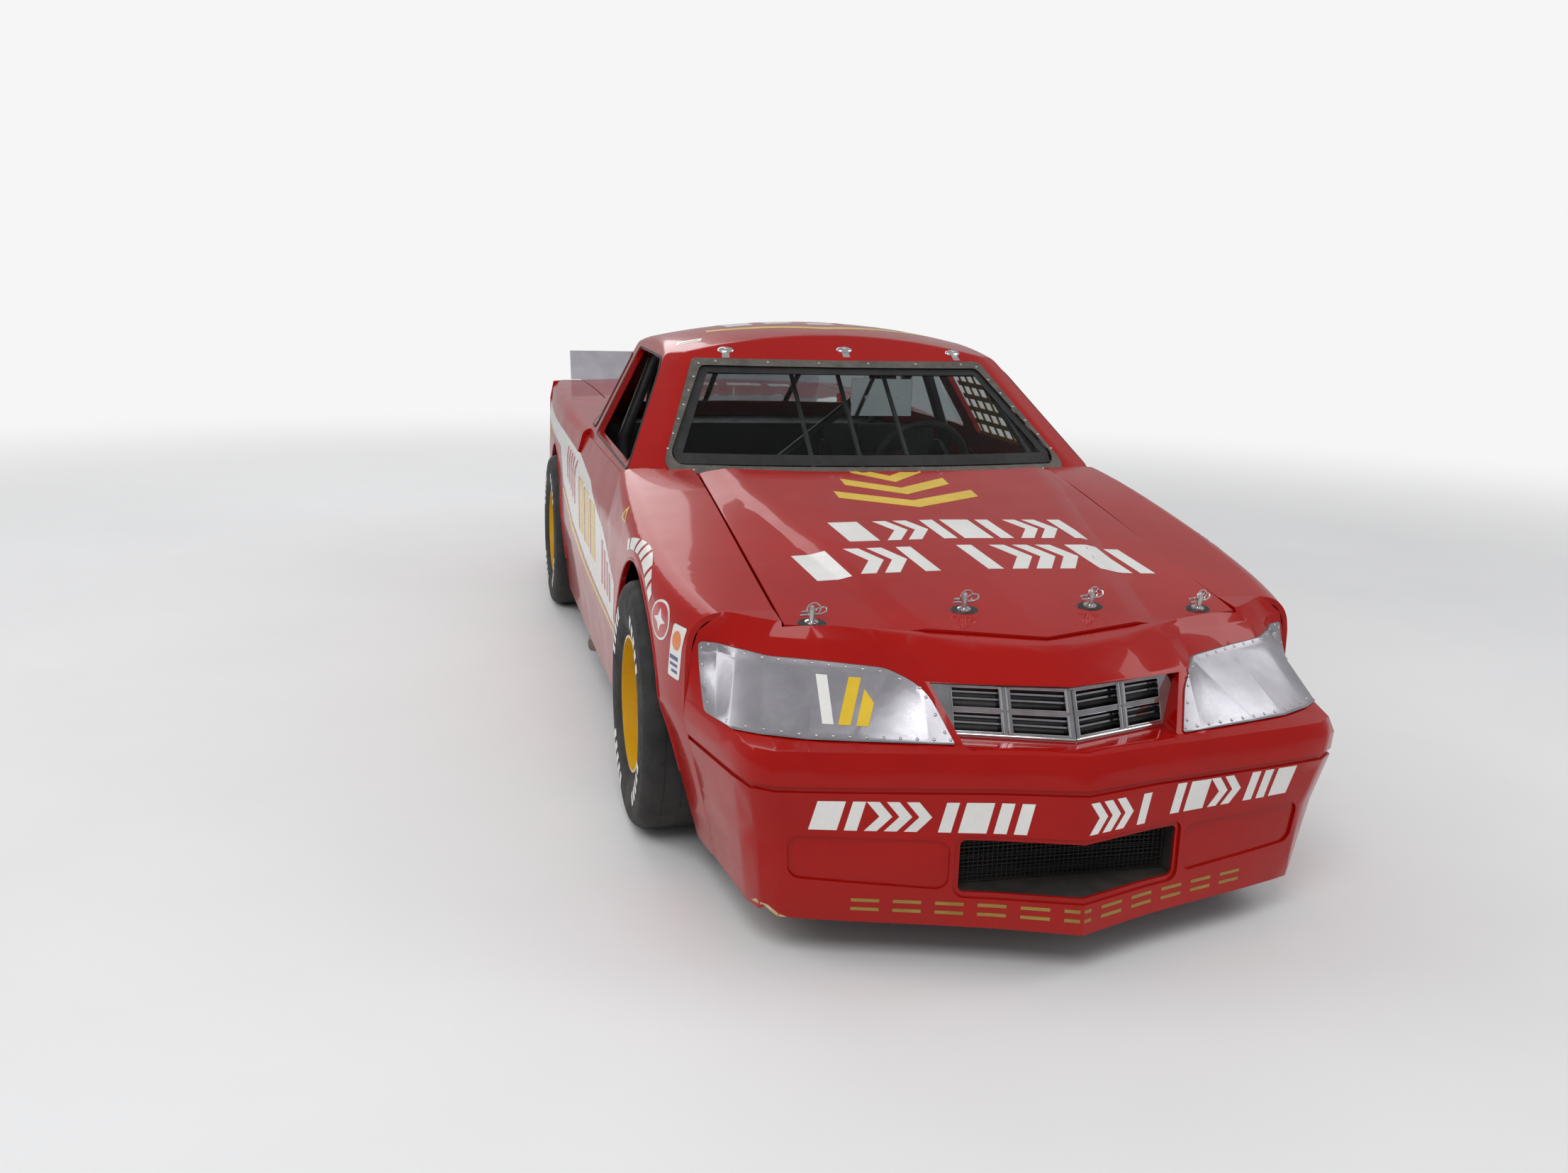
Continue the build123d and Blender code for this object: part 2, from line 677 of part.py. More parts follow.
with BuildPart() as tail_lamps:
    add(tail_solid(-2))
    add(tail_solid(9), mode=Mode.SUBTRACT)
    add(front_prism(grown(lamp_outline, -seat_gap), 12, *tail_cut), mode=Mode.INTERSECT)
tail_lamps.part.label = "tail_lamps"
export_step(tail_lamps.part, "parts/tail_lamps.step")

# Wheels: tyre, steel rim with a vented disc, and a hub on its stub; each corner's own pieces
corners = (
    ("front_left", 1, front_axle),
    ("front_right", -1, front_axle),
    ("rear_left", 1, rear_axle),
    ("rear_right", -1, rear_axle),
)
tyre_half = tyre_width / 2
rim_half = rim_width / 2
tyre_profile = (
    (-rim_half, bead_radius),
    (-tyre_half, bead_radius + 72),
    (-tyre_half + 5, wheel_radius - 28),
    (-tyre_half + 20, wheel_radius),
)
disc_front = 28
vent_radius = 148
vent_size = (64, 28)
hub_back = -34

for corner_name, side, station in corners:
    wheel_middle = (side * half_track, y(station), wheel_radius)
    middle = Plane(origin=wheel_middle, x_dir=(side, 0, 0), z_dir=(0, -side, 0))
    spin_axis = Axis(wheel_middle, (1, 0, 0))
    with BuildPart() as tyre:
        with BuildSketch(middle):
            Polygon(*tyre_profile, *[(-px, radius) for px, radius in reversed(tyre_profile)], align=None)
        revolve(axis=spin_axis)
    tyre.part.label = f"tyre_{corner_name}"
    export_step(tyre.part, f"parts/tyre_{corner_name}.step")

    with BuildPart() as wheel:
        with BuildSketch(middle):
            with Locations((0, bead_radius - rim_wall / 2)):
                Rectangle(rim_width + 12, rim_wall)
            Polygon(
                (disc_front, stub_radius + bearing_clearance),
                (disc_front, 92),
                (disc_front + 34, 128),
                (disc_front + 34, bead_radius - rim_wall + 1),
                (disc_front + 34 - disc_wall, bead_radius - rim_wall + 1),
                (disc_front + 34 - disc_wall, 132),
                (disc_front - disc_wall, 96),
                (disc_front - disc_wall, hub_radius),
                (hub_back, hub_radius),
                (hub_back, stub_radius + bearing_clearance),
                align=None,
            )
        revolve(axis=spin_axis)
        face_plane = Plane(origin=middle.origin, x_dir=(0, 1, 0), z_dir=(side, 0, 0))
        with BuildSketch(face_plane):
            with PolarLocations((bead_radius + 128) / 2 - 4, window_count, start_angle=22.5):
                SlotOverall(vent_size[0], vent_size[1], rotation=90)
        extrude(amount=rim_half, mode=Mode.SUBTRACT)
    wheel.part.label = f"wheel_{corner_name}"
    export_step(wheel.part, f"parts/wheel_{corner_name}.step")

# Front suspension: knuckles turn on pins in the ends of the upper and lower arms
kingpin_place = 650
pin_radius = 9
arm_low = (222, 246)
arm_high = (458, 478)
arm_inner = 440

for corner_name, side, station in corners[:2]:
    with BuildPart() as knuckle:
        with BuildSketch(Plane.XY.offset(arm_low[1] + 4)):
            with Locations((side * kingpin_place, y(station))):
                RectangleRounded(44, 60, 10)
        extrude(amount=arm_high[0] - arm_low[1] - 8)
        with BuildSketch(Plane.XY.offset(arm_low[0])):
            with Locations((side * kingpin_place, y(station))):
                Circle(pin_radius)
        extrude(amount=arm_high[1] - arm_low[0])
        with BuildSketch(Plane.YZ.offset(side * kingpin_place)):
            with Locations((y(station), wheel_radius)):
                Circle(stub_radius)
        extrude(amount=side * (half_track + 20 - kingpin_place))
        with BuildSketch(Plane.XY.offset(arm_low[1] + 4)):
            with Locations((side * (kingpin_place - 20), y(station) + 60)):
                RectangleRounded(28, 110, 12)
        extrude(amount=18)
        with BuildSketch(Plane.YZ.offset(side * (kingpin_place + 4))):
            with Locations((y(station) - 96, wheel_radius + 30)):
                RectangleRounded(60, 110, 14)
        extrude(amount=side * 44)
        with BuildSketch(Plane.YZ.offset(side * (kingpin_place + 4))):
            with Locations((y(station) - 50, wheel_radius + 30)):
                Rectangle(70, 40)
        extrude(amount=side * 12)
    knuckle.part.label = f"knuckle_{corner_name[6:]}"
    export_step(knuckle.part, f"parts/knuckle_{corner_name[6:]}.step")

with BuildPart() as front_suspension:
    for side in (-1, 1):
        for low, high in (arm_low, arm_high):
            with BuildSketch(Plane.XY.offset(low)):
                for reach in (-1, 1):
                    Polygon(
                        (side * (kingpin_place - 14), y(front_axle) + 14 * reach),
                        (side * (kingpin_place - 14), y(front_axle) - 14 * reach),
                        (side * arm_inner, y(front_axle) + 110 * reach),
                        (side * arm_inner, y(front_axle) + 150 * reach),
                        align=None,
                    )
                with Locations((side * kingpin_place, y(front_axle))):
                    Circle(24)
                    Circle(pin_radius + bearing_clearance, mode=Mode.SUBTRACT)
            extrude(amount=high - low)
        with BuildSketch(Plane.XY.offset(arm_low[1])):
            with Locations((side * (arm_inner + 60), y(front_axle) - 78)):
                Circle(44)
                Circle(32, mode=Mode.SUBTRACT)
        extrude(amount=arm_high[0] - arm_low[1])
front_suspension.part.label = "front_suspension"
export_step(front_suspension.part, "parts/front_suspension.step")

# Rear axle: a live axle with a centre housing and a stub at each end
axle_tube_radius = 40
housing_radius = 125
trailing_arm_end = (430, rear_axle - 30, 300)
with BuildPart() as rear_axle_assembly:
    with BuildSketch(Plane.YZ.offset(-half_track + 150)):
        with Locations((y(rear_axle), wheel_radius)):
            Circle(axle_tube_radius)
    extrude(amount=2 * (half_track - 150))
    with BuildSketch(Plane.YZ.offset(-half_track - 20)):
        with Locations((y(rear_axle), wheel_radius)):
            Circle(stub_radius)
    extrude(amount=2 * (half_track + 20))
    with Locations((0, y(rear_axle), wheel_radius)):
        Sphere(housing_radius)
    with BuildSketch(Plane.XZ.offset(-y(rear_axle) + 60)):
        with Locations((0, wheel_radius)):
            Circle(60)
    extrude(amount=110)
    for side in (-1, 1):
        with BuildSketch(Plane.YZ.offset(side * trailing_arm_end[0] - 20)):
            Polygon((y(rear_axle - 50), 268), (y(rear_axle - 20), 268), (y(rear_axle - 20), wheel_radius),
                    (y(rear_axle - 50), wheel_radius), align=None)
        extrude(amount=40)
rear_axle_assembly.part.label = "rear_axle"
export_step(rear_axle_assembly.part, "parts/rear_axle.step")


def tube(points, radius, bend):
    # a round tube through (x, station, height) points, bent where it turns
    places = [Vector(px, y(station), height) for px, station, height in points]
    with BuildPart() as bar:
        if len(places) == 2:
            with BuildSketch(Plane(origin=places[0], z_dir=places[1] - places[0])):
                Circle(radius)
            extrude(amount=(places[1] - places[0]).length)
        else:
            with BuildLine() as path:
                FilletPolyline(*places, radius=bend)
            with BuildSketch(Plane(origin=path.line @ 0, z_dir=path.line % 0)):
                Circle(radius)
            sweep()
    return bar.part


# Frame: side rails, front clip and rear clip of box section, with cross members
side_rail = 678
rear_rail = 458
rail_low = rocker_foot
rail_top = rail_low + rail_depth
front_rail_low = 262
rear_rail_low = 440
engine_low = 230
with BuildPart() as frame_rails:
    for side in (-1, 1):
        with BuildSketch(Plane.YZ.offset(side * side_rail - rail_width / 2)):
            Polygon((y(1600), rail_low), (y(3400), rail_low), (y(3400), rail_top), (y(1600), rail_top),
                    align=None)
        extrude(amount=rail_width)
        with BuildSketch(Plane.YZ.offset(side * front_rail_place - rail_width / 2)):
            Polygon((y(470), front_rail_low), (y(1480), front_rail_low), (y(1600), rail_low),
                    (y(1676), rail_low), (y(1676), rail_top), (y(1500), front_rail_low + rail_depth),
                    (y(470), front_rail_low + rail_depth), align=None)
        extrude(amount=rail_width)
        with BuildSketch(Plane.YZ.offset(side * rear_rail - rail_width / 2)):
            Polygon((y(3324), rail_low), (y(3400), rail_low), (y(3640), rear_rail_low),
                    (y(4940), rear_rail_low), (y(4940), rear_rail_low + rail_depth),
                    (y(3600), rear_rail_low + rail_depth), (y(3324), rail_top), align=None)
        extrude(amount=rail_width)
        for station, inner in ((1600, front_rail_place), (3324, rear_rail)):
            with BuildSketch(Plane.XY.offset(rail_low)):
                with Locations((side * (inner + side_rail) / 2, y(station + rail_width / 2))):
                    Rectangle(side_rail - inner, rail_width)
            extrude(amount=rail_depth)
    for station, low, half in ((470, front_rail_low, front_rail_place), (4864, rear_rail_low, rear_rail)):
        with BuildSketch(Plane.XY.offset(low)):
            with Locations((0, y(station + rail_width / 2))):
                Rectangle(2 * half, rail_width)
        extrude(amount=rail_width)
    with BuildSketch(Plane.XZ.offset(-y(front_axle - rail_width / 2))):
        outer = front_rail_place + rail_width / 2
        bar_top = engine_low - seat_gap
        bar_low = bar_top - rail_width
        bar_end = ((outer, front_rail_low + 10), (outer - rail_width, front_rail_low + 10))
        bar_half = ((0, bar_low), (outer, bar_low), *bar_end, (outer - rail_width, bar_top))
        Polygon(*mirrored(bar_half), align=None)
    extrude(amount=-rail_width)
    for side in (-1, 1):
        for reach in (-1, 1):
            with BuildSketch(Plane.XY.offset(arm_low[0] - 4)):
                with Locations((side * (arm_inner - seat_gap - 20), y(front_axle) + reach * 130)):
                    Rectangle(40, 56)
            extrude(amount=arm_high[1] - arm_low[0] + 8)
frame_rails.part.label = "frame_rails"
export_step(frame_rails.part, "parts/frame_rails.step")

# Roll cage: hoop, halo, legs, door bars, braces and the thin bars behind the windshield
hoop_station = 2880
halo_station = 2215
door_bar_radius = 19


def rear_brace(side):
    return (side * 548, 2850, 1238), (side * rear_rail, 4020, rear_rail_low + 90)


with BuildPart() as roll_cage:
    add(tube(((-side_rail, hoop_station, rail_top), (-side_rail, hoop_station, 900), (-545, 2862, 1245),
              (545, 2862, 1245), (side_rail, hoop_station, 900), (side_rail, hoop_station, rail_top)),
             cage_tube_radius, 70))
    add(tube(((-548, halo_station, 1222), (548, halo_station, 1222)), cage_tube_radius, 70))
    add(tube(((-668, 1776, 860), (668, 1776, 860)), cage_tube_radius, 70))
    add(tube(((-650, hoop_station, 330), (500, 2862, 1240)), door_bar_radius, 70))
    for side in (-1, 1):
        add(tube(((side * side_rail, 1700, rail_top), (side * 668, 1776, 860),
                  (side * 548, halo_station, 1222), (side * 540, 2875, 1236)), cage_tube_radius, 70))
        for height in (360, 480, 600, 710):
            add(tube(((side * 672, 1735, height), (side * 780, 2000, height), (side * 780, 2600, height),
                      (side * 676, 2884, height)), door_bar_radius, 120))
        add(tube(rear_brace(side), door_bar_radius, 70))
    for place in (-170, 0, 170):
        add(tube(((place, 1772, 866), (place, 2218, 1226)), 8, 70))
    add(frame_rails.part, mode=Mode.SUBTRACT)
roll_cage.part.label = "roll_cage"
export_step(roll_cage.part, "parts/roll_cage.step")

# Floor, firewall, bulkhead, driveshaft tunnel, wheel houses and trunk floor of sheet
trunk_floor = 560
house_inner = 600
house_top = 764
house_front = 3610
house_back = 4210
tunnel_half = 110
tunnel_top = 426
cell_place = (0, 4615, 480)
cell_size = (780, 470, 300)
sheet_half = 812
sheet_clearance = 3
firewall_top = 877
tray_top = 902
tray_half = 600
tray_end = 3790
jack_station = 2200
jack_pad_size = (90, 120)
jack_pad_height = 22


def row_at(rows, station):
    # a body side's row at any station, between its given rows
    for low, high in zip(rows[:-1], rows[1:]):
        if low[0] <= station <= high[0]:
            share = (station - low[0]) / (high[0] - low[0])
            return [
                tuple(a + share * (b - a) for a, b in zip(old, new)) if isinstance(old, tuple)
                else old + share * (new - old)
                for old, new in zip(low, high)
            ]
    raise ValueError(f"no row at station {station}")


def bulkhead_outline(rows, station, top):
    # the half outline of a cross sheet inside the body's skin
    _, foot, crease, upper, shoulder, _, radius = row_at(rows, station)
    reach = skin + sheet_clearance
    foot_x = foot + (crease - foot) * (rocker_foot - dam_foot) / (crease_height - dam_foot)
    upper_side = ((shoulder[0] - reach, top - radius), (upper[0] - reach, upper[1]))
    lower_side = ((crease - reach, crease_height), (foot_x - reach, rocker_foot))
    return ((0, top), (shoulder[0] - reach - radius, top)) + upper_side + lower_side


firewall_outline = bulkhead_outline(fender_rows, firewall_station, firewall_top)
bulkhead_half = bulkhead_outline(quarter_rows, bulkhead_station, tray_top)

with BuildPart() as floor_pan:
    with BuildSketch(Plane.XY.offset(rocker_foot)):
        with Locations((0, (y(firewall_station) + y(bulkhead_station)) / 2)):
            Rectangle(2 * sheet_half, bulkhead_station - firewall_station)
    extrude(amount=-floor_wall)
    with BuildSketch(Plane.XZ.offset(-y(firewall_station))):
        Polygon(*mirrored(firewall_outline), (0, rocker_foot), align=None)
    extrude(amount=-floor_wall)
    with BuildSketch(Plane.XZ.offset(-y(bulkhead_station))):
        Polygon(*mirrored(bulkhead_half), (0, rocker_foot), align=None)
    extrude(amount=floor_wall)
    with BuildSketch(Plane.XZ.offset(-y(firewall_station))):
        with Locations((0, (rocker_foot - floor_wall + tunnel_top + floor_wall) / 2)):
            Rectangle(2 * (tunnel_half + floor_wall), tunnel_top + 2 * floor_wall - rocker_foot)
    extrude(amount=firewall_station - bulkhead_station)
    with BuildSketch(Plane.XZ.offset(-y(firewall_station - 50))):
        with Locations((0, tunnel_top / 2)):
            Rectangle(2 * tunnel_half, tunnel_top)
    extrude(amount=firewall_station - bulkhead_station - 100, mode=Mode.SUBTRACT)
    with BuildSketch(Plane.XY.offset(trunk_floor)):
        with Locations((0, (y(bulkhead_station) + y(quarter_end - 10)) / 2)):
            Rectangle(2 * house_inner, quarter_end - 10 - bulkhead_station)
        with Locations((cell_place[0], y(cell_place[1]))):
            Rectangle(cell_size[0] + 2 * seat_gap, cell_size[1] + 2 * seat_gap, mode=Mode.SUBTRACT)
    extrude(amount=floor_wall)
    with BuildSketch(Plane.XY.offset(tray_top)):
        with Locations((0, (y(bulkhead_station) + y(tray_end)) / 2)):
            Rectangle(2 * tray_half, tray_end - bulkhead_station)
    extrude(amount=-floor_wall)
    for side in (-1, 1):
        with BuildSketch(Plane.YZ.offset(side * house_inner)):
            Polygon((y(bulkhead_station), trunk_floor), (y(house_back + 160), trunk_floor),
                    (y(house_back), house_top), (y(house_front), house_top), align=None)
        extrude(amount=-side * floor_wall)
        with BuildSketch(Plane.XY.offset(house_top)):
            corners_out = [
                (side * (row_at(quarter_rows, station)[3][0] - skin - sheet_clearance), y(station))
                for station in (house_front, house_back)
            ]
            Polygon((side * (house_inner - floor_wall), y(house_front)), *corners_out,
                    (side * (house_inner - floor_wall), y(house_back)), align=None)
        extrude(amount=-floor_wall)
        add(tube(rear_brace(side), door_bar_radius + seat_gap, 70), mode=Mode.SUBTRACT)
        with BuildSketch(Plane.XY.offset(rocker_foot - floor_wall)):
            with Locations((side * side_rail, y(jack_station))):
                RectangleRounded(*jack_pad_size, 8)
        extrude(amount=-jack_pad_height)
    add(frame_rails.part, mode=Mode.SUBTRACT)
floor_pan.part.label = "floor_pan"
export_step(floor_pan.part, "parts/floor_pan.step")

# Plain heavy and boxed pieces: name, middle (x, station, height), size, corner
blocks = (
    ("engine_block", (0, 1280, engine_low + 240), (500, 540, 480), 30),
    ("radiator", (0, 508, front_rail_low + rail_width + seat_gap + 150), (640, 50, 300), 6),
    ("fuel_cell", cell_place, cell_size, 1),
)
for name, place, size, corner in blocks:
    with BuildPart() as block:
        with BuildSketch(Plane.XY.offset(place[2] - size[2] / 2)):
            with Locations((place[0], y(place[1]))):
                RectangleRounded(size[0], size[1], corner)
        extrude(amount=size[2])
    block.part.label = name
    export_step(block.part, f"parts/{name}.step")

# Driver's seat, dashboard, column and steering wheel
driver_place = 370
seat_half = 235
with BuildPart() as driver_seat:
    with BuildSketch(Plane.YZ.offset(driver_place - seat_half)):
        Polygon((y(2420), 240), (y(2420), 310), (y(2700), 275), (y(2835), 960), (y(2838), 960),
                (y(2790), 240), align=None)
        with BuildLine():
            Polyline((y(2400), 165), (y(2440), 165), (y(2440), 245), (y(2400), 245), (y(2400), 165))
        make_face()
    extrude(amount=2 * seat_half)
    for side in (-1, 1):
        with BuildSketch(Plane.YZ.offset(driver_place + side * seat_half)):
            shell_foot = rocker_foot + seat_gap
            Polygon((y(2400), shell_foot), (y(2400), 400), (y(2560), 430), (y(2600), 700), (y(2690), 860),
                    (y(2780), 900), (y(2838), 900), (y(2800), shell_foot), align=None)
        extrude(amount=side * 18)
driver_seat.part.label = "driver_seat"
export_step(driver_seat.part, "parts/driver_seat.step")

column_tilt = 12
column_radius = 16
wheel_station = 2300
column_run = wheel_station - firewall_station - floor_wall - seat_gap
column_reach = column_run / cos(radians(column_tilt)) - column_radius * sin(radians(column_tilt))
column_pivot = (driver_place, y(wheel_station), 850)
column_axis = (0, cos(radians(column_tilt)), sin(radians(column_tilt)))
column_plane = Plane(origin=column_pivot, x_dir=(1, 0, 0), z_dir=column_axis)
with BuildPart() as steering_column:
    with BuildSketch(column_plane.offset(-column_reach)):
        Circle(column_radius)
    extrude(amount=column_reach + 10)
    with BuildSketch(column_plane.offset(-430)):
        Circle(30)
    extrude(amount=90)
steering_column.part.label = "steering_column"
export_step(steering_column.part, "parts/steering_column.step")

with BuildPart() as dashboard:
    with BuildSketch(Plane.YZ.offset(-655)):
        Polygon((y(1752), 690), (y(1800), 690), (y(1862), 836), (y(1840), 850), (y(1752), 830), align=None)
    extrude(amount=1310)
    add(roll_cage.part, mode=Mode.SUBTRACT)
    with BuildSketch(column_plane.offset(-600)):
        Circle(column_radius + seat_gap)
    extrude(amount=340, mode=Mode.SUBTRACT)
dashboard.part.label = "dashboard"
export_step(dashboard.part, "parts/dashboard.step")

grip_radius = 178
with BuildPart() as steering_wheel:
    with BuildSketch(Plane(origin=column_pivot, x_dir=(1, 0, 0), z_dir=(0, -sin(radians(column_tilt)),
                     cos(radians(column_tilt))))):
        with Locations((grip_radius, 0)):
            Circle(14)
    revolve(axis=Axis(column_pivot, column_axis))
    with BuildSketch(column_plane.offset(-12)):
        Circle(42)
        Circle(column_radius + bearing_clearance, mode=Mode.SUBTRACT)
    extrude(amount=16)
    with BuildSketch(column_plane.offset(-5)):
        with PolarLocations(38 + (grip_radius - 38) / 2, 3, start_angle=-90):
            Rectangle(grip_radius - 38, 34)
    extrude(amount=5)
steering_wheel.part.label = "steering_wheel"
export_step(steering_wheel.part, "parts/steering_wheel.step")

# Mirror: a plate hung by two strips behind the halo bar
mirror_middle = 185
mirror_width = 230
mirror_low = 1053
mirror_height = 134
mirror_wall = 14
hanger_width = 16
hanger_wall = 6
hanger_top = 1246
with BuildPart() as mirror:
    back_of_halo = halo_station + cage_tube_radius + seat_gap
    with BuildSketch(Plane.XY.offset(mirror_low)):
        with Locations((mirror_middle, y(back_of_halo + mirror_wall / 2))):
            RectangleRounded(mirror_width, mirror_wall, 3)
    extrude(amount=mirror_height)
    with BuildSketch(Plane.XY.offset(mirror_low + mirror_height - 2)):
        for place in (-60, 60):
            with Locations((mirror_middle + place, y(back_of_halo + hanger_wall / 2))):
                Rectangle(hanger_width, hanger_wall)
    extrude(amount=hanger_top + 2 - mirror_low - mirror_height)
mirror.part.label = "mirror"
export_step(mirror.part, "parts/mirror.step")

# Window net on the driver's side: crossed straps in the leaning plane of the window
net_lean = (rail_height - belt_height, 0, belt_line[2][0] - rail_line[2][0])
net_plane = Plane(origin=(800, y(2300), belt_height + 10), x_dir=(0, 1, 0), z_dir=net_lean)
with BuildPart() as window_net:
    with BuildSketch(net_plane):
        with Locations((60, 170)):
            with GridLocations(0, 58, 1, 6):
                Rectangle(800, 22)
            with GridLocations(80, 0, 10, 1):
                Rectangle(22, 330)
    extrude(amount=-3)
    add(side_prism(side_window_outline, 28, 500, 900), mode=Mode.INTERSECT)
window_net.part.label = "window_net"
export_step(window_net.part, "parts/window_net.step")

# Rear springs, trailing arms and the driveshaft
spring_place = 548
spring_radii = (44, 33)
arm_setback = 6.5
with BuildPart() as rear_suspension:
    for side in (-1, 1):
        add(tube(((side * 360, bulkhead_station + arm_setback, 215), (side * trailing_arm_end[0],
                  *trailing_arm_end[1:])), 24, 70))
        with BuildSketch(Plane.XY.offset(wheel_radius + axle_tube_radius + seat_gap)):
            with Locations((side * spring_place, y(rear_axle))):
                Circle(spring_radii[0])
                Circle(spring_radii[1], mode=Mode.SUBTRACT)
        extrude(amount=trunk_floor - wheel_radius - axle_tube_radius - 2 * seat_gap)
    add(tube(((0, 1550 + seat_gap, 330), (0, rear_axle - 170 - seat_gap, wheel_radius)), 38, 70))
    add(rear_axle_assembly.part, mode=Mode.SUBTRACT)
rear_suspension.part.label = "rear_suspension"
export_step(rear_suspension.part, "parts/rear_suspension.step")

# Exhaust pipes: from the engine's sides, under the floor and out below the doors
pipe_radius = 38
pipe_place = 250 + pipe_radius + seat_gap
pipe_height = rocker_foot - floor_wall - pipe_radius - seat_gap
with BuildPart() as exhaust_pipes:
    for side in (-1, 1):
        add(tube(((side * pipe_place, 1330, 330), (side * pipe_place, 1490, pipe_height),
                  (side * pipe_place, 2300, pipe_height), (side * 640, 2560, pipe_height),
                  (side * 815, 2700, pipe_height)), pipe_radius, 100))
exhaust_pipes.part.label = "exhaust_pipes"
export_step(exhaust_pipes.part, "parts/exhaust_pipes.step")
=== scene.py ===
import bpy
import bmesh
from math import cos, pi, radians, sin
from mathutils import Matrix, Vector
from mathutils.bvhtree import BVHTree


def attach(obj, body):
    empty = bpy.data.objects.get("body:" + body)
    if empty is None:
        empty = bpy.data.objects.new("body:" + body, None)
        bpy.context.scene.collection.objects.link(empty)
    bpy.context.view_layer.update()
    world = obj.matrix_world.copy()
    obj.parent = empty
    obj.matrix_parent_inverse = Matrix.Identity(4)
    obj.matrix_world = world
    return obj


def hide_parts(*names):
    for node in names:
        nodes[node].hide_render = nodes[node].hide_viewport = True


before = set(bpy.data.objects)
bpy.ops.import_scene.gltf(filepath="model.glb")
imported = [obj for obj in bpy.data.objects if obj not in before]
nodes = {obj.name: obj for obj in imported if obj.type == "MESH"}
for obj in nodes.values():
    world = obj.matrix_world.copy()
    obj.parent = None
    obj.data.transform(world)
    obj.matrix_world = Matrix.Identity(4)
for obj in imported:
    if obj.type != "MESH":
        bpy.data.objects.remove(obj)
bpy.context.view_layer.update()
scene = bpy.context.scene
halfLength = 2560  # stations count in millimetres from the nose tip
acrossAxis = Vector((1, 0, 0))
alongAxis = Vector((0, 1, 0))
upAxis = Vector((0, 0, 1))


def spot(x, station, z):
    # a place in metres from millimetres across, behind the nose tip and up
    return Vector((x / 1000, (station - halfLength) / 1000, z / 1000))


def spots(*places):
    return [spot(*place) for place in places]


# Camera at the photograph's angle
camera = {"yaw": 0.24329, "pitch": 0.21627, "roll": 0.028328, "place": (-1.3817, -5.236, 1.5361),
          "lens": 32.24, "sensor": 36}
forward = Vector((sin(camera["yaw"]) * cos(camera["pitch"]), cos(camera["yaw"]) * cos(camera["pitch"]),
                  -sin(camera["pitch"])))
level = Vector((cos(camera["yaw"]), -sin(camera["yaw"]), 0))
upright = level.cross(forward)
across = level * cos(camera["roll"]) + upright * sin(camera["roll"])
upwards = -level * sin(camera["roll"]) + upright * cos(camera["roll"])
lookout = Matrix((across, upwards, -forward)).transposed().to_4x4()
lookout.translation = Vector(camera["place"])
eye = bpy.data.objects.new("photoCamera", bpy.data.cameras.new("photoCamera"))
eye.data.lens = camera["lens"]
eye.data.sensor_width = camera["sensor"]
eye.matrix_world = lookout
scene.collection.objects.link(eye)
scene.camera = eye
print("camera placed")


# Shared effects as node groups, each with a place as its first input
def addNode(tree, kind, inputs=None, **settings):
    # inputs holds values to set and sockets to link, and the node's outputs come back
    node = tree.nodes.new("ShaderNode" + kind)
    for key, value in settings.items():
        setattr(node, key, value)
    for key, value in (inputs or {}).items():
        if isinstance(value, bpy.types.NodeSocket):
            tree.links.new(value, node.inputs[key])
        else:
            node.inputs[key].default_value = value
    return node.outputs


def newGroup(name, inputs, outputs):
    group = bpy.data.node_groups.new(name, "ShaderNodeTree")
    for label, kind, start in (("Vector", "Vector", None), *inputs):
        socket = group.interface.new_socket(label, in_out="INPUT", socket_type="NodeSocket" + kind)
        if start is not None:
            socket.default_value = start
    for label, kind in outputs:
        group.interface.new_socket(label, in_out="OUTPUT", socket_type="NodeSocket" + kind)
    return group, group.nodes.new("NodeGroupInput").outputs, group.nodes.new("NodeGroupOutput").inputs


def makeMottle():
    # cloudy change between two tones, and the same cloud as a value between two ends
    group, start, end = newGroup("mottle",
                                 (("Scale", "Float", 5.0), ("Tone A", "Color", None),
                                  ("Tone B", "Color", None), ("Low", "Float", 0.0), ("High", "Float", 1.0)),
                                 (("Color", "Color"), ("Value", "Float")))
    cloud = addNode(group, "TexNoise", {"Detail": 5.0, "Roughness": 0.6, "Vector": start["Vector"],
                                        "Scale": start["Scale"]})
    spread = addNode(group, "MapRange", {"From Min": 0.33, "From Max": 0.67, "Value": cloud["Fac"]})["Result"]
    tones = addNode(group, "Mix", {0: spread, 6: start["Tone A"], 7: start["Tone B"]}, data_type="RGBA")
    value = addNode(group, "MapRange", {"Value": spread, "To Min": start["Low"], "To Max": start["High"]})
    group.links.new(tones[2], end["Color"])
    group.links.new(value["Result"], end["Value"])
    return group


def makeSpecks():
    # small marks such as stone chips, dust or scuffs, more of them where Amount is higher
    group, start, end = newGroup("specks", (("Scale", "Float", 60.0), ("Amount", "Float", 0.3)),
                                 (("Mask", "Float"),))
    grains = addNode(group, "TexNoise", {"Detail": 3.0, "Roughness": 0.7, "Vector": start["Vector"],
                                         "Scale": start["Scale"]})
    limit = addNode(group, "Math", {0: 1.0, 1: start["Amount"]}, operation="SUBTRACT")[0]
    edge = addNode(group, "Math", {0: limit, 1: 0.06}, operation="ADD")[0]
    mask = addNode(group, "MapRange", {"Value": grains["Fac"], "From Min": limit, "From Max": edge})
    group.links.new(mask["Result"], end["Mask"])
    return group


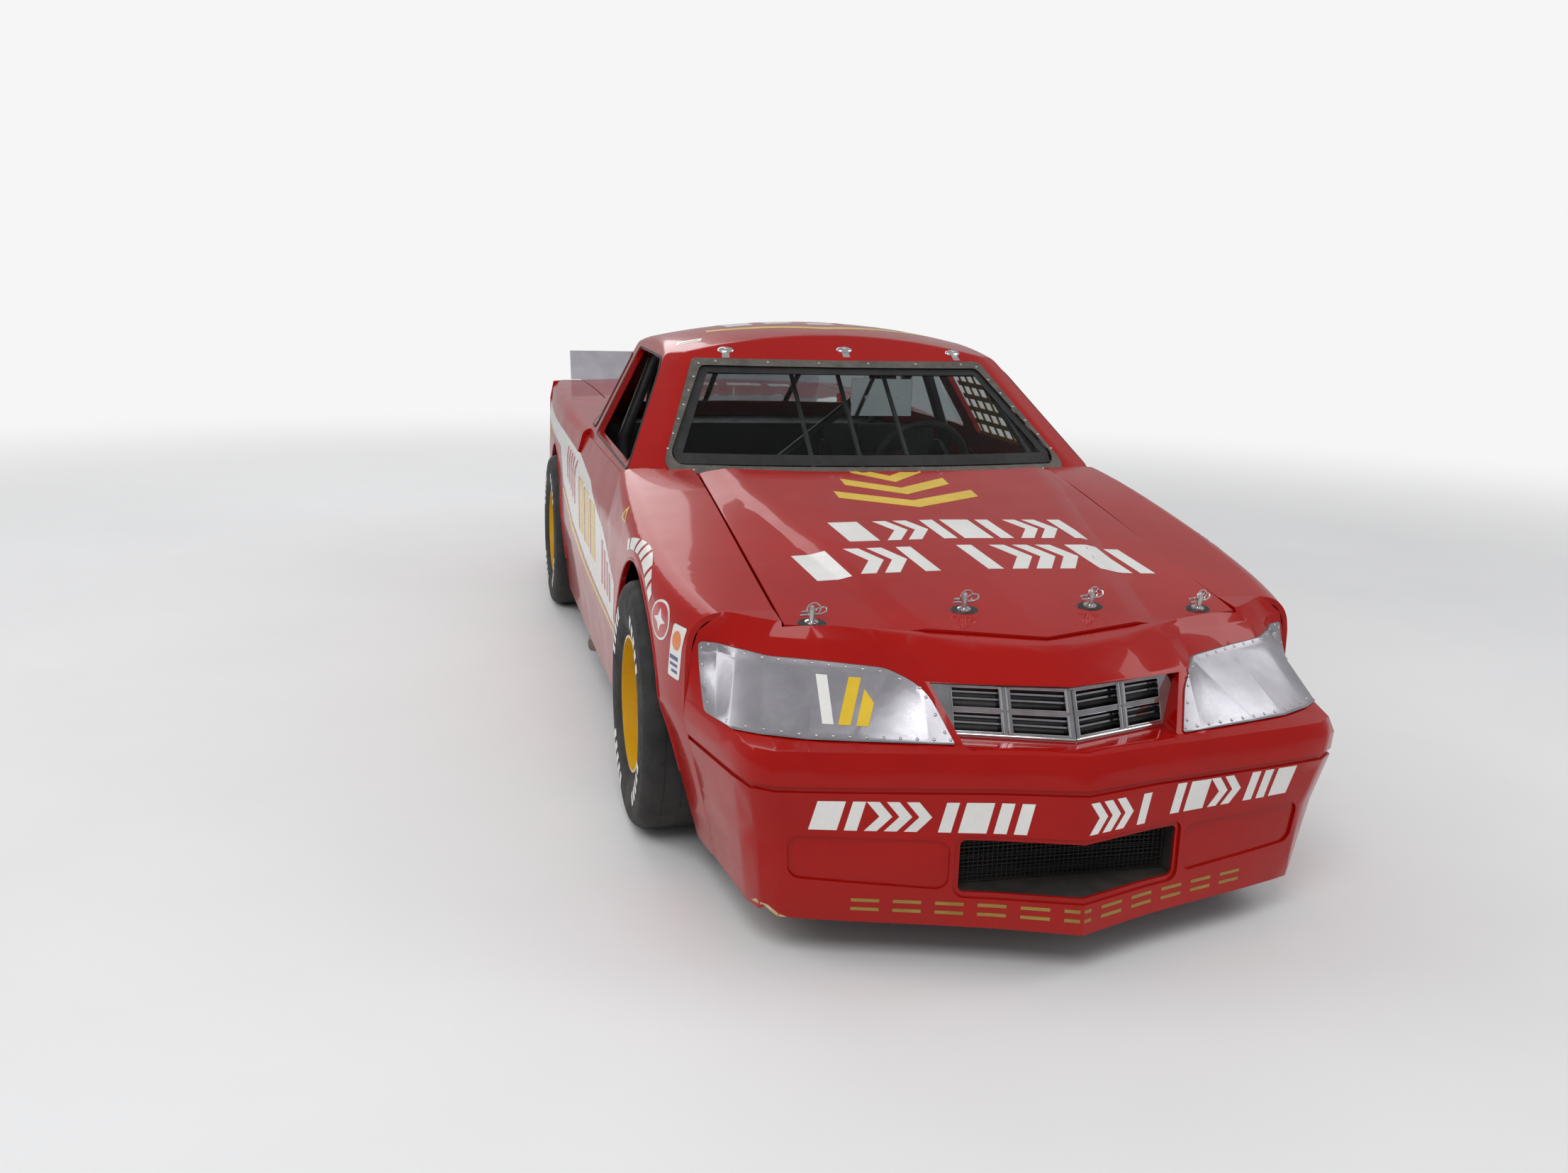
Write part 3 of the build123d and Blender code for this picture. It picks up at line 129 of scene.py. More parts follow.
def makeLowDust():
    # dust that thins out with height
    group, start, end = newGroup("lowDust", (("Top", "Float", 0.4), ("Strength", "Float", 0.5)),
                                 (("Mask", "Float"),))
    parts = addNode(group, "SeparateXYZ", {"Vector": start["Vector"]})
    fade = addNode(group, "MapRange", {"From Max": 0.05, "To Min": 0.0, "To Max": 1.0, "Value": parts["Z"],
                                       "From Min": start["Top"]})
    cloud = addNode(group, "TexNoise",
                    {"Scale": 7.0, "Detail": 6.0, "Roughness": 0.7, "Vector": start["Vector"]})
    mix = addNode(group, "Math", {0: fade["Result"], 1: cloud["Fac"]}, operation="MULTIPLY")
    mask = addNode(group, "Math", {0: mix[0], 1: start["Strength"]}, operation="MULTIPLY")
    group.links.new(mask[0], end["Mask"])
    return group


def makeGrain():
    # fine lines along one direction: Stretch squeezes the noise, more across than along
    group, start, end = newGroup("grain",
                                 (("Stretch", "Vector", (1, 1, 1)), ("Low", "Float", 0.2),
                                  ("High", "Float", 0.4)), (("Value", "Float"), ("Height", "Float")))
    squeeze = addNode(group, "VectorMath", {0: start["Vector"], 1: start["Stretch"]}, operation="MULTIPLY")
    lines = addNode(group, "TexNoise",
                    {"Scale": 1.0, "Detail": 4.0, "Roughness": 0.65, "Vector": squeeze["Vector"]})
    value = addNode(group, "MapRange", {"From Min": 0.3, "From Max": 0.7, "Value": lines["Fac"],
                                        "To Min": start["Low"], "To Max": start["High"]})
    group.links.new(value["Result"], end["Value"])
    group.links.new(lines["Fac"], end["Height"])
    return group


def makeWeave():
    # crossing threads as a height, and the hollows between them as a mask for painted shade
    group, start, end = newGroup("weave", (("Scale", "Float", 300.0),),
                                 (("Height", "Float"), ("Shaded Hollow", "Float")))
    threads = [addNode(group, "TexWave", {"Distortion": 0.6, "Detail": 1.0, "Vector": start["Vector"],
                                          "Scale": start["Scale"]}, wave_type="BANDS",
                       bands_direction=direction)
               for direction in ("X", "Z")]
    cross = addNode(group, "Math", {0: threads[0]["Fac"], 1: threads[1]["Fac"]}, operation="MULTIPLY")[0]
    shadedHollow = addNode(group, "MapRange", {"From Min": 0.35, "From Max": 0.0, "Value": cross})
    group.links.new(cross, end["Height"])
    group.links.new(shadedHollow["Result"], end["Shaded Hollow"])
    return group


effects = {"mottle": makeMottle(), "specks": makeSpecks(), "lowDust": makeLowDust(), "grain": makeGrain(),
           "weave": makeWeave()}
print("shader groups built")


def startMaterial(name, fixed):
    # an empty material with its Principled shader, fixed values set straight on the shader's sockets
    material = bpy.data.materials.new(name)
    material.use_nodes = True
    tree = material.node_tree
    shader = tree.nodes["Principled BSDF"]
    for key, value in fixed.items():
        shader.inputs[key].default_value = value
    return material, tree, shader, addNode(tree, "TexCoord")["Object"]


def effect(tree, name, place, inputs):
    return addNode(tree, "Group", {"Vector": place, **inputs}, node_tree=effects[name])


def overTone(tree, mask, under, tone):
    # one colour laid over another where the mask says
    return addNode(tree, "Mix", {7: (*tone, 1), 0: mask, 6: under}, data_type="RGBA")[2]


def addBump(tree, height, strength, depth, under=None):
    inputs = {"Strength": strength, "Distance": depth, "Height": height}
    if under:
        inputs["Normal"] = under
    return addNode(tree, "Bump", inputs)["Normal"]


finishes = {}
bumpDepth = {"lines": 0.0005, "weave": 0.001, "ground": 0.001}


def addFinish(name, toneA, toneB, rough, toneScale, roughScale, fixed=None, bumps=(), chips=None, dust=None,
              lines=None, weave=None):
    # colour clouds between two tones and changing gloss, with these where given: bumps as scale and strength,
    # chips as scale, amount and tone, low dust as top, strength and tone, lines as stretch and strength,
    # and weave as scale, strength and the tone of painted shade in its hollows
    material, tree, shader, place = startMaterial(name, fixed or {})
    color = effect(tree, "mottle", place,
                   {"Scale": toneScale, "Tone A": (*toneA, 1), "Tone B": (*toneB, 1)})["Color"]
    low, high = rough
    normal = None
    if lines:
        grain = effect(tree, "grain", place, {"Stretch": lines[0], "Low": low, "High": high})
        gloss = grain["Value"]
        normal = addBump(tree, grain["Height"], lines[1], bumpDepth["lines"])
    else:
        gloss = effect(tree, "mottle", place, {"Scale": roughScale, "Low": low, "High": high})["Value"]
    if chips:
        scale, amount, tone = chips
        color = overTone(tree, effect(tree, "specks", place, {"Scale": scale, "Amount": amount})["Mask"],
                         color, tone)
    if dust:
        top, strength, tone = dust
        film = effect(tree, "lowDust", place, {"Top": top, "Strength": strength})["Mask"]
        color = overTone(tree, film, color, tone)
        gloss = addNode(tree, "Math", {0: gloss, 1: film}, operation="ADD", use_clamp=True)[0]
    if weave:
        scale, strength, tone = weave
        cloth = effect(tree, "weave", place, {"Scale": scale})
        # painted shade: the weave's tone darkens the hollows between threads
        color = overTone(tree, cloth["Shaded Hollow"], color, tone)
        normal = addBump(tree, cloth["Height"], strength, bumpDepth["weave"])
    for scale, strength in bumps:
        ground = effect(tree, "mottle", place, {"Scale": scale, "Low": 0.0, "High": 1.0})
        normal = addBump(tree, ground["Value"], strength, bumpDepth["ground"], normal)
    tree.links.new(color, shader.inputs["Base Color"])
    tree.links.new(gloss, shader.inputs["Roughness"])
    if normal:
        tree.links.new(normal, shader.inputs["Normal"])
    finishes[name] = material


dustTone = (0.33, 0.27, 0.22)
bareMetal = {"Metallic": 1.0}
filmCoat = {"Coat Weight": 0.3, "Coat Roughness": 0.08}
thinCoat = {"Coat Weight": 0.3}
webSheen = {"Sheen Weight": 0.3}
fineBump = ((300, 0.02),)
addFinish("redPaint", (0.33, 0.0025, 0.001), (0.38, 0.004, 0.0015), (0.16, 0.28), 3.0, 9.0,
          {"Coat Weight": 0.45, "Coat Roughness": 0.04, "Coat IOR": 1.42, "Specular IOR Level": 0.08},
          ((650, 0.015),), (240, 0.22, (0.22, 0.006, 0.004)), (0.28, 0.08, dustTone))
addFinish("chrome", (0.72, 0.72, 0.74), (0.62, 0.61, 0.61), (0.03, 0.11), 22.0, 40.0, bareMetal,
          ((120, 0.02),), (170, 0.25, (0.35, 0.32, 0.28)))
# a darker copy of the chrome for the grille: its lower tone is a painted dark reflection, not a different
# metal
addFinish("shadedGrilleChrome", (0.42, 0.42, 0.44), (0.32, 0.31, 0.32), (0.03, 0.10), 22.0, 40.0, bareMetal,
          ((120, 0.02),), (170, 0.25, (0.20, 0.18, 0.16)))
addFinish("polishedSheet", (0.44, 0.43, 0.46), (0.37, 0.36, 0.39), (0.30, 0.44), 14.0, 22.0, bareMetal,
          (), (300, 0.24, (0.38, 0.37, 0.39)), lines=((420, 420, 16), 0.05))
addFinish("dullStrip", (0.30, 0.28, 0.25), (0.20, 0.18, 0.16), (0.25, 0.45), 26.0, 30.0, bareMetal,
          (), (130, 0.36, (0.12, 0.10, 0.09)), lines=((30, 30, 500), 0.1))
addFinish("blackSatin", (0.012, 0.012, 0.013), (0.028, 0.027, 0.026), (0.35, 0.6), 9.0, 14.0, None,
          ((500, 0.05),), (120, 0.3, (0.08, 0.07, 0.065)), (0.5, 0.25, dustTone))
addFinish("cagePaint", (0.018, 0.018, 0.020), (0.035, 0.034, 0.034), (0.3, 0.5), 8.0, 16.0,
          {"Coat Weight": 0.2}, ((420, 0.04),), (170, 0.31, (0.12, 0.11, 0.10)))
addFinish("dashPaint", (0.30, 0.006, 0.004), (0.36, 0.010, 0.007), (0.3, 0.45), 6.0, 16.0, None,
          ((500, 0.05),), (150, 0.3, (0.10, 0.01, 0.01)))
addFinish("castMetal", (0.10, 0.10, 0.10), (0.17, 0.165, 0.16), (0.5, 0.75), 12.0, 25.0, {"Metallic": 0.7},
          ((160, 0.3), (600, 0.2)), (60, 0.42, (0.07, 0.05, 0.035)))
addFinish("enginePaint", (0.05, 0.10, 0.30), (0.03, 0.07, 0.22), (0.35, 0.6), 10.0, 20.0, None, ((220, 0.2),),
          (60, 0.36, (0.03, 0.028, 0.025)))
addFinish("radiatorCore", (0.30, 0.30, 0.31), (0.20, 0.20, 0.20), (0.35, 0.5), 20.0, 20.0, {"Metallic": 0.9},
          (), (70, 0.36, (0.10, 0.085, 0.07)), lines=((12, 12, 700), 0.6))
addFinish("clearSheet", (0.62, 0.66, 0.66), (0.58, 0.62, 0.62), (0.015, 0.05), 4.0, 8.0,
          {"Transmission Weight": 1.0, "IOR": 1.12, "Specular IOR Level": 0.55}, ((9, 0.008),))
addFinish("lampLens", (0.62, 0.022, 0.012), (0.50, 0.014, 0.008), (0.08, 0.18), 12.0, 20.0,
          {"Coat Weight": 0.8, "Coat Roughness": 0.05}, (), (120, 0.28, (0.5, 0.1, 0.08)),
          lines=((260, 6, 6), 0.8))
addFinish("seatCloth", (0.020, 0.020, 0.022), (0.038, 0.037, 0.037), (0.7, 0.9), 10.0, 20.0,
          {"Sheen Weight": 0.4, "Sheen Roughness": 0.4}, ((60, 0.25),),
          weave=(190, 0.4, (0.006, 0.006, 0.007)))
addFinish("mirrorFace", (0.82, 0.84, 0.84), (0.74, 0.76, 0.76), (0.02, 0.09), 6.0, 24.0, bareMetal,
          ((30, 0.01),))
addFinish("exhaustMetal", (0.34, 0.28, 0.22), (0.16, 0.13, 0.14), (0.3, 0.55), 5.0, 20.0, {"Metallic": 0.9},
          ((240, 0.1),), (50, 0.38, (0.20, 0.08, 0.035)))
addFinish("gripVinyl", (0.014, 0.014, 0.014), (0.026, 0.025, 0.024), (0.45, 0.65), 14.0, 20.0, None,
          ((420, 0.25),))
addFinish("tyreRubber", (0.016, 0.016, 0.017), (0.034, 0.033, 0.032), (0.55, 0.8), 9.0, 22.0,
          {"Specular IOR Level": 0.35}, ((260, 0.18), (60, 0.08)), (140, 0.34, (0.055, 0.050, 0.046)),
          (0.3, 0.30, (0.16, 0.14, 0.12)))
addFinish("wheelPaint", (0.74, 0.43, 0.015), (0.64, 0.34, 0.012), (0.18, 0.35), 9.0, 18.0,
          {"Coat Weight": 0.6}, ((400, 0.04),), (80, 0.32, (0.22, 0.13, 0.05)))
addFinish("steelBright", (0.62, 0.61, 0.60), (0.48, 0.47, 0.46), (0.2, 0.4), 40.0, 60.0, bareMetal,
          ((500, 0.05),), (220, 0.32, (0.25, 0.2, 0.16)))
addFinish("whiteVinyl", (0.80, 0.79, 0.76), (0.72, 0.71, 0.68), (0.18, 0.32), 8.0, 20.0, filmCoat, fineBump,
          (180, 0.27, (0.5, 0.36, 0.32)))
addFinish("yellowVinyl", (0.78, 0.52, 0.02), (0.66, 0.44, 0.015), (0.18, 0.32), 8.0, 20.0, filmCoat, fineBump,
          (180, 0.27, (0.42, 0.22, 0.05)))
addFinish("goldVinyl", (0.40, 0.25, 0.06), (0.30, 0.18, 0.04), (0.25, 0.4), 10.0, 30.0, {"Metallic": 0.5},
          fineBump, (160, 0.33, (0.20, 0.02, 0.01)))
addFinish("blueVinyl", (0.015, 0.035, 0.20), (0.010, 0.025, 0.15), (0.2, 0.35), 8.0, 20.0, thinCoat, fineBump)
addFinish("orangeVinyl", (0.80, 0.22, 0.02), (0.70, 0.17, 0.015), (0.2, 0.35), 8.0, 20.0, thinCoat, fineBump)
addFinish("redVinyl", (0.50, 0.010, 0.012), (0.42, 0.008, 0.010), (0.18, 0.3), 8.0, 20.0, thinCoat, fineBump)
addFinish("blackRubber", (0.010, 0.010, 0.010), (0.022, 0.021, 0.020), (0.5, 0.7), 12.0, 30.0, None,
          ((300, 0.12),))
addFinish("rawFibre", (0.52, 0.36, 0.14), (0.62, 0.50, 0.28), (0.6, 0.8), 60.0, 60.0, None, ((500, 0.4),))
addFinish("yellowWeb", (0.74, 0.47, 0.02), (0.62, 0.38, 0.018), (0.65, 0.85), 12.0, 20.0, webSheen,
          weave=(170, 0.5, (0.36, 0.20, 0.01)))
addFinish("redWeb", (0.36, 0.010, 0.010), (0.28, 0.008, 0.008), (0.6, 0.85), 12.0, 20.0, webSheen,
          weave=(170, 0.5, (0.12, 0.004, 0.004)))
print("materials built:", len(finishes))


# Small tools for meshes
def finishPiece(bm, name, material, body="chassis", slotName=None, smoothAngle=32, replaced=()):
    mesh = bpy.data.meshes.new(name)
    bm.to_mesh(mesh)
    bm.free()
    if "custom_normal" in mesh.attributes:
        mesh.attributes.remove(mesh.attributes["custom_normal"])
    mesh.shade_smooth()
    mesh.set_sharp_from_angle(angle=radians(smoothAngle))
    mesh.materials.append(finishes[material])
    piece = bpy.data.objects.new(name, mesh)
    scene.collection.objects.link(piece)
    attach(piece, body)
    if replaced:
        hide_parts(*replaced)
    return piece


def tidyNormals(bm):
    bmesh.ops.recalc_face_normals(bm, faces=bm.faces)


def turnedPiece(bm, *values, **more):
    # a piece whose faces are turned outwards first
    tidyNormals(bm)
    finishPiece(bm, *values, **more)


def dressNode(node, material, body, slotName, smoothAngle=32):
    # the node's own shape, joined up, smooth over its curves and sharp at its edges
    bm = bmesh.new()
    bm.from_mesh(nodes[node].data)
    bmesh.ops.remove_doubles(bm, verts=bm.verts, dist=0.00003)
    bmesh.ops.dissolve_limit(bm, angle_limit=radians(0.05), verts=bm.verts, edges=bm.edges)
    piece = finishPiece(bm, node + "_skin", material, body, slotName, smoothAngle, (node,))
    even = piece.modifiers.new("evenShading", "WEIGHTED_NORMAL")
    even.keep_sharp = True


surfaces = {}


def surfaceOf(names):
    if names not in surfaces:
        bm = bmesh.new()
        for name in names:
            bm.from_mesh(nodes[name].data)
        surfaces[names] = BVHTree.FromBMesh(bm)
        bm.free()
    return surfaces[names]


def meet(targets, place, ray, beyond=0):
    # where a ray meets the nodes, or else their place nearest to one beyond, with the normal facing back
    tree = surfaceOf(targets)
    hit, normal = tree.ray_cast(place, ray)[:2]
    if hit is None and beyond:
        hit, normal = tree.find_nearest(place + ray * beyond)[:2]
    if hit is None:
        return None, None
    return hit, -normal if normal.dot(ray) > 0 else normal


def standing(place, way):
    # a frame at a place, its Z pointing one way
    return Matrix.Translation(place) @ way.to_track_quat("Z", "Y").to_matrix().to_4x4()


views = {
    "top": (lambda u, v: spot(u, v, 2200), -upAxis, acrossAxis, alongAxis),
    "front": (lambda u, v: spot(u, -900, v), alongAxis, acrossAxis, upAxis),
    "rear": (lambda u, v: spot(u, 6100, v), -alongAxis, acrossAxis, upAxis),
    "left": (lambda u, v: spot(2200, u, v), -acrossAxis, alongAxis, upAxis),
    "right": (lambda u, v: spot(-2200, u, v), acrossAxis, alongAxis, upAxis),
}
vinyl = {"cell": 14, "lift": 0.0007, "thick": 0.0004, "beyond": 1.4}


def addFace(bm, points):
    return bm.faces.new([bm.verts.new(point) for point in points])


def layVinyl(name, outlines, view, targets, material, body="chassis", cell=vinyl["cell"], lift=vinyl["lift"]):
    # flat outlines in a view's plane, cut into small cells and laid on the nodes they meet
    toSpace, ray, alongU, alongV = views[view]
    bm = bmesh.new()
    for outline in outlines:
        addFace(bm, [toSpace(u, v) for u, v in outline])
    for axis, side in ((0, alongU), (1, alongV)):
        values = [point[axis] for outline in outlines for point in outline]
        cut = min(values) + cell
        while cut < max(values):
            bmesh.ops.bisect_plane(bm, geom=bm.verts[:] + bm.edges[:] + bm.faces[:], dist=0.000001,
                                   plane_co=toSpace(cut, cut), plane_no=side)
            cut += cell
    bmesh.ops.triangulate(bm, faces=bm.faces)
    for vert in bm.verts:
        hit, normal = meet(targets, vert.co, ray, vinyl["beyond"])
        vert.co = hit + normal * lift
    bm.normal_update()
    turned = [face for face in bm.faces if face.normal.dot(ray) > 0]
    bmesh.ops.reverse_faces(bm, faces=turned)
    bmesh.ops.solidify(bm, geom=bm.faces[:], thickness=vinyl["thick"])
    finishPiece(bm, name, material, body, smoothAngle=40)


def slantBar(uLow, uHigh, vLow, vHigh, slant=0):
    return [(uLow, vLow), (uHigh, vLow), (uHigh + slant, vHigh), (uLow + slant, vHigh)]


def roundOutline(u, v, radiusU, radiusV, count=28):
    return [(u + radiusU * cos(2 * pi * k / count), v + radiusV * sin(2 * pi * k / count))
            for k in range(count)]


def cardOutline(uLow, uHigh, vLow, vHigh, corner, lean=0):
    points = []
    for cu, cv, turn in ((uHigh - corner, vHigh - corner, 0), (uLow + corner, vHigh - corner, 90),
                         (uLow + corner, vLow + corner, 180), (uHigh - corner, vLow + corner, 270)):
        for k in range(5):
            angle = radians(turn + 22.5 * k)
            pv = cv + corner * sin(angle)
            points.append((cu + corner * cos(angle) + lean * (pv - vLow), pv))
    return points


def setStuds(name, places, targets, radius, rise, slotName=None):
    # low domes, such as rivet heads, on what each place meets from the front
    toSpace, ray = views["front"][:2]
    bm = bmesh.new()
    for u, v in places:
        hit, normal = meet(targets, toSpace(u, v), ray)
        if hit is not None:
            addBall(bm, standing(hit, normal), radius, (1, 1, rise / radius), 10, 5)
    finishPiece(bm, name, "steelBright", "chassis", slotName, 60)


def addBox(bm, low, high, edge=0.0):
    # a block between two corners, its edges rounded
    low, high = Vector(low), Vector(high)
    shape = Matrix.Translation((low + high) / 2) @ Matrix.Diagonal((*(high - low), 1))
    made = bmesh.ops.create_cube(bm, size=1, matrix=shape)
    if edge:
        edges = list({e for vert in made["verts"] for e in vert.link_edges})
        bmesh.ops.bevel(bm, geom=edges, offset=edge, affect="EDGES", segments=2, profile=0.5, material=-1)


def addRod(bm, start, end, radius, count=12, endRadius=None):
    run = end - start
    bmesh.ops.create_cone(bm, cap_ends=True, cap_tris=False, segments=count, radius1=radius,
                          radius2=radius if endRadius is None else endRadius, depth=run.length,
                          matrix=standing((start + end) / 2, run))


def addBall(bm, place, radius, sizes=(1, 1, 1), around=20, up=10):
    # a ball, or with three sizes a flattened one, in a frame
    bmesh.ops.create_uvsphere(bm, u_segments=around, v_segments=up, radius=radius,
                              matrix=place @ Matrix.Diagonal((*sizes, 1)))


def addLathe(bm, profile, place, axis, count=24, closed=False):
    # a profile of (radius, along) in metres turned fully round an axis through a place
    axis = axis.normalized()
    side = axis.orthogonal().normalized()
    verts = [bm.verts.new(place + side * radius + axis * along) for radius, along in profile]
    edges = [bm.edges.new(pair) for pair in zip(verts[:-1], verts[1:])]
    if closed:
        edges.append(bm.edges.new((verts[-1], verts[0])))
    bmesh.ops.spin(bm, geom=verts + edges, cent=place, axis=axis, dvec=(0, 0, 0), angle=2 * pi, steps=count,
                   use_merge=True, use_duplicate=False)
    bmesh.ops.remove_doubles(bm, verts=bm.verts[:], dist=0.000005)


def addTube(bm, points, radius, count=8, closed=False):
    # a round bar through points, its rings square to the run
    last = len(points) - 1
    rings = []
    for k, point in enumerate(points):
        before, after = points[max(k - 1, 0)], points[min(k + 1, last)]
        if closed:
            before, after = points[k - 1], points[(k + 1) % len(points)]
        made = bmesh.ops.create_circle(bm, cap_ends=not closed and k in (0, last), segments=count,
                                       radius=radius, matrix=standing(point, (after - before).normalized()))
        rings.append(made["verts"])
    for low, high in list(zip(rings[:-1], rings[1:])) + ([(rings[-1], rings[0])] if closed else []):
        edges = []
        for ring in (low, high):
            own = set(ring)
            edges += list({e for vert in ring for e in vert.link_edges if e.other_vert(vert) in own})
        bmesh.ops.bridge_loops(bm, edges=edges)


def tubePiece(name, points, radius, material, slotName=None, closed=True):
    bm = bmesh.new()
    addTube(bm, points, radius, 8, closed)
    turnedPiece(bm, name, material, "chassis", slotName, 60)


# Body panels, glass, metal and running gear keep the shapes of their nodes
for node in ("nose_fascia", "fender_left", "fender_right", "door_left", "door_right", "quarter_left",
             "quarter_right", "roof_shell", "rear_filler", "tail_panel"):
    dressNode(node, "redPaint", "chassis", "red_paint", 40 if node == "nose_fascia" else 28)
dressNode("hood", "redPaint", "hood_lid", "red_paint", 22)
dressNode("decklid", "redPaint", "deck_lid", "red_paint", 28)
dressNode("spoiler", "polishedSheet", "deck_lid", "polished_aluminium", 30)
for names, material, slotName in (
        (("grille",), "shadedGrilleChrome", "chrome"),
        (("headlight_covers",), "polishedSheet", "polished_aluminium"),
        (("windshield_frame",), "dullStrip", "frame_trim"),
        (("frame_rails", "floor_pan", "cowl_panel", "front_suspension", "rear_suspension", "rear_axle",
          "fuel_cell", "steering_column"), "blackSatin", "black_paint"),
        (("roll_cage",), "cagePaint", "cage_paint"), (("dashboard",), "dashPaint", "dash_paint"),
        (("engine_block",), "enginePaint", "cast_metal"), (("radiator",), "radiatorCore", "radiator_metal"),
        (("windshield", "rear_glass"), "clearSheet", "clear_sheet"),
        (("tail_lamps",), "lampLens", "lamp_plastic"),
        (("mirror",), "mirrorFace", "mirror_face"), (("window_net",), "yellowWeb", "net_webbing"),
        (("exhaust_pipes",), "exhaustMetal", "exhaust_metal")):
    for node in names:
        dressNode(node, material, "chassis", slotName)
dressNode("steering_wheel", "gripVinyl", "steering_wheel_body", "grip_vinyl")
for side in ("left", "right"):
    dressNode("knuckle_" + side, "castMetal", "knuckle_body_" + side, "cast_metal")
print("panels dressed")

# Tyres and wheels
tyre = {"across": 752, "height": 350, "halfWidth": 0.142, "steps": 96}
tyreMarks = {"starts": (18, 108, 198, 288), "count": 5, "gap": 8.4, "sweep": 5.0, "lift": 0.0006,
             "thick": 0.0005, "section": ((0.256, 0.1401), (0.266, 0.1411), (0.276, 0.1418), (0.286, 0.1418),
                                          (0.293, 0.1412))}
corners = {"front_left": (1, 1115), "front_right": (-1, 1115), "rear_left": (1, 3909),
           "rear_right": (-1, 3909)}
halfProfile = ((0.1945, 0.1165), (0.199, 0.1200), (0.206, 0.1215), (0.209, 0.1245), (0.216, 0.1265),
               (0.219, 0.1300), (0.236, 0.1360), (0.262, 0.1408), (0.281, 0.1418), (0.300, 0.1405),
               (0.318, 0.1362), (0.322, 0.1368), (0.328, 0.1345), (0.336, 0.1290), (0.3425, 0.1215),
               (0.3470, 0.1120), (0.3490, 0.1000), (0.3496, 0.0800), (0.3482, 0.0790), (0.3482, 0.0770),
               (0.3498, 0.0760), (0.3500, 0.0300), (0.3486, 0.0290), (0.3486, 0.0270), (0.3500, 0.0260))
for corner, (side, station) in corners.items():
    body = "road_wheel_" + corner
    middle = spot(tyre["across"] * side, station, tyre["height"])
    bm = bmesh.new()
    ring = list(halfProfile) + [(radius, -along) for radius, along in reversed(halfProfile)]
    addLathe(bm, ring, middle, acrossAxis, tyre["steps"], closed=True)
    turnedPiece(bm, "tyre_form_" + corner, "tyreRubber", body, "tyre_rubber", 38, ("tyre_" + corner,))
    # plain white bars round the outer wall, in four groups
    bm = bmesh.new()
    for start in tyreMarks["starts"]:
        for k in range(tyreMarks["count"]):
            turn = radians(start + k * tyreMarks["gap"])
            spoke = Vector((0, cos(turn), sin(turn)))
            verts = []
            for radius, along in tyreMarks["section"]:
                outward = Vector((side * min(along + tyreMarks["lift"], tyre["halfWidth"]), 0, 0))
                verts.append(bm.verts.new(middle + spoke * radius + outward))
            edges = [bm.edges.new(pair) for pair in zip(verts[:-1], verts[1:])]
            bmesh.ops.spin(bm, geom=verts + edges, cent=middle, axis=(1, 0, 0), dvec=(0, 0, 0),
                           angle=radians(tyreMarks["sweep"]), steps=3, use_merge=False, use_duplicate=False)
    tidyNormals(bm)
    flipped = [face for face in bm.faces if face.normal.x * side < 0]
    bmesh.ops.reverse_faces(bm, faces=flipped)
    bmesh.ops.solidify(bm, geom=bm.faces[:], thickness=tyreMarks["thick"])
    finishPiece(bm, "tyre_marks_" + corner, "whiteVinyl", body)
    dressNode("wheel_" + corner, "wheelPaint", body, "wheel_paint", 34)
print("tyres and wheels built")

# Rivets round the two headlight plates
rivets = {"gap": 36, "radius": 0.0042, "rise": 0.0022, "lines": (
    ((290, 538), (430, 537), (600, 537), (700, 538), (752, 538), (783, 538)),
    ((338, 636), (398, 655), (470, 658), (540, 660), (600, 662), (660, 664), (712, 667), (778, 670)),
    ((300, 552), (332, 628)), ((783, 552), (783, 662)))}


def alongLine(points, gap):
    # evenly spaced places on a broken line
    found, rest = [], 0.0
    for (u0, v0), (u1, v1) in zip(points[:-1], points[1:]):
        run = ((u1 - u0) ** 2 + (v1 - v0) ** 2) ** 0.5
        here = rest
        while here < run:
            share = here / run
            found.append((u0 + (u1 - u0) * share, v0 + (v1 - v0) * share))
            here += gap
        rest = here - run
    return found


places = [(side * u, v) for side in (-1, 1) for line in rivets["lines"]
          for u, v in alongLine(line, rivets["gap"])]
setStuds("plate_rivets", places, ("headlight_covers",), rivets["radius"], rivets["rise"],
         "polished_aluminium")

# Dark screens behind the grille and in the lower inlet; the sheet behind the grille is painted shade, a dark
# stand-in for the shaded inside of the nose
bm = bmesh.new()
for half in (-1, 1):
    addFace(bm, spots((0, 134, 530), (half * 258, 222, 530), (half * 306, 280, 643), (0, 190, 643)))
bmesh.ops.remove_doubles(bm, verts=bm.verts, dist=0.0001)
tidyNormals(bm)
bmesh.ops.solidify(bm, geom=bm.faces[:], thickness=0.004)
finishPiece(bm, "grille_shade_sheet", "blackSatin")

# Bright beads on the grille: round its openings, down its posts and along its lower lip
grilleFront = {"low": 527, "tall": 119, "centre": (104, 160), "corner": (194, 252), "half": (262, 314)}
beads = {"rows": ((540, 580), (591, 633)), "columns": ((13, 137), (156, 260)), "edge": 0.0013, "post": 0.0026,
         "posts": (9.5, 140.5, 152.5), "postEnd": 3, "lip": 0.0045, "lipHeight": 532.5, "lipHalf": 258}


def onGrille(x, z):
    # a place on the grille's sloping V-shaped front
    share = (z - grilleFront["low"]) / grilleFront["tall"]
    centre, corner, half = (low + (high - low) * share for low, high in
                            (grilleFront["centre"], grilleFront["corner"], grilleFront["half"]))
    return spot(x, centre + (corner - centre) * abs(x) / half, z)


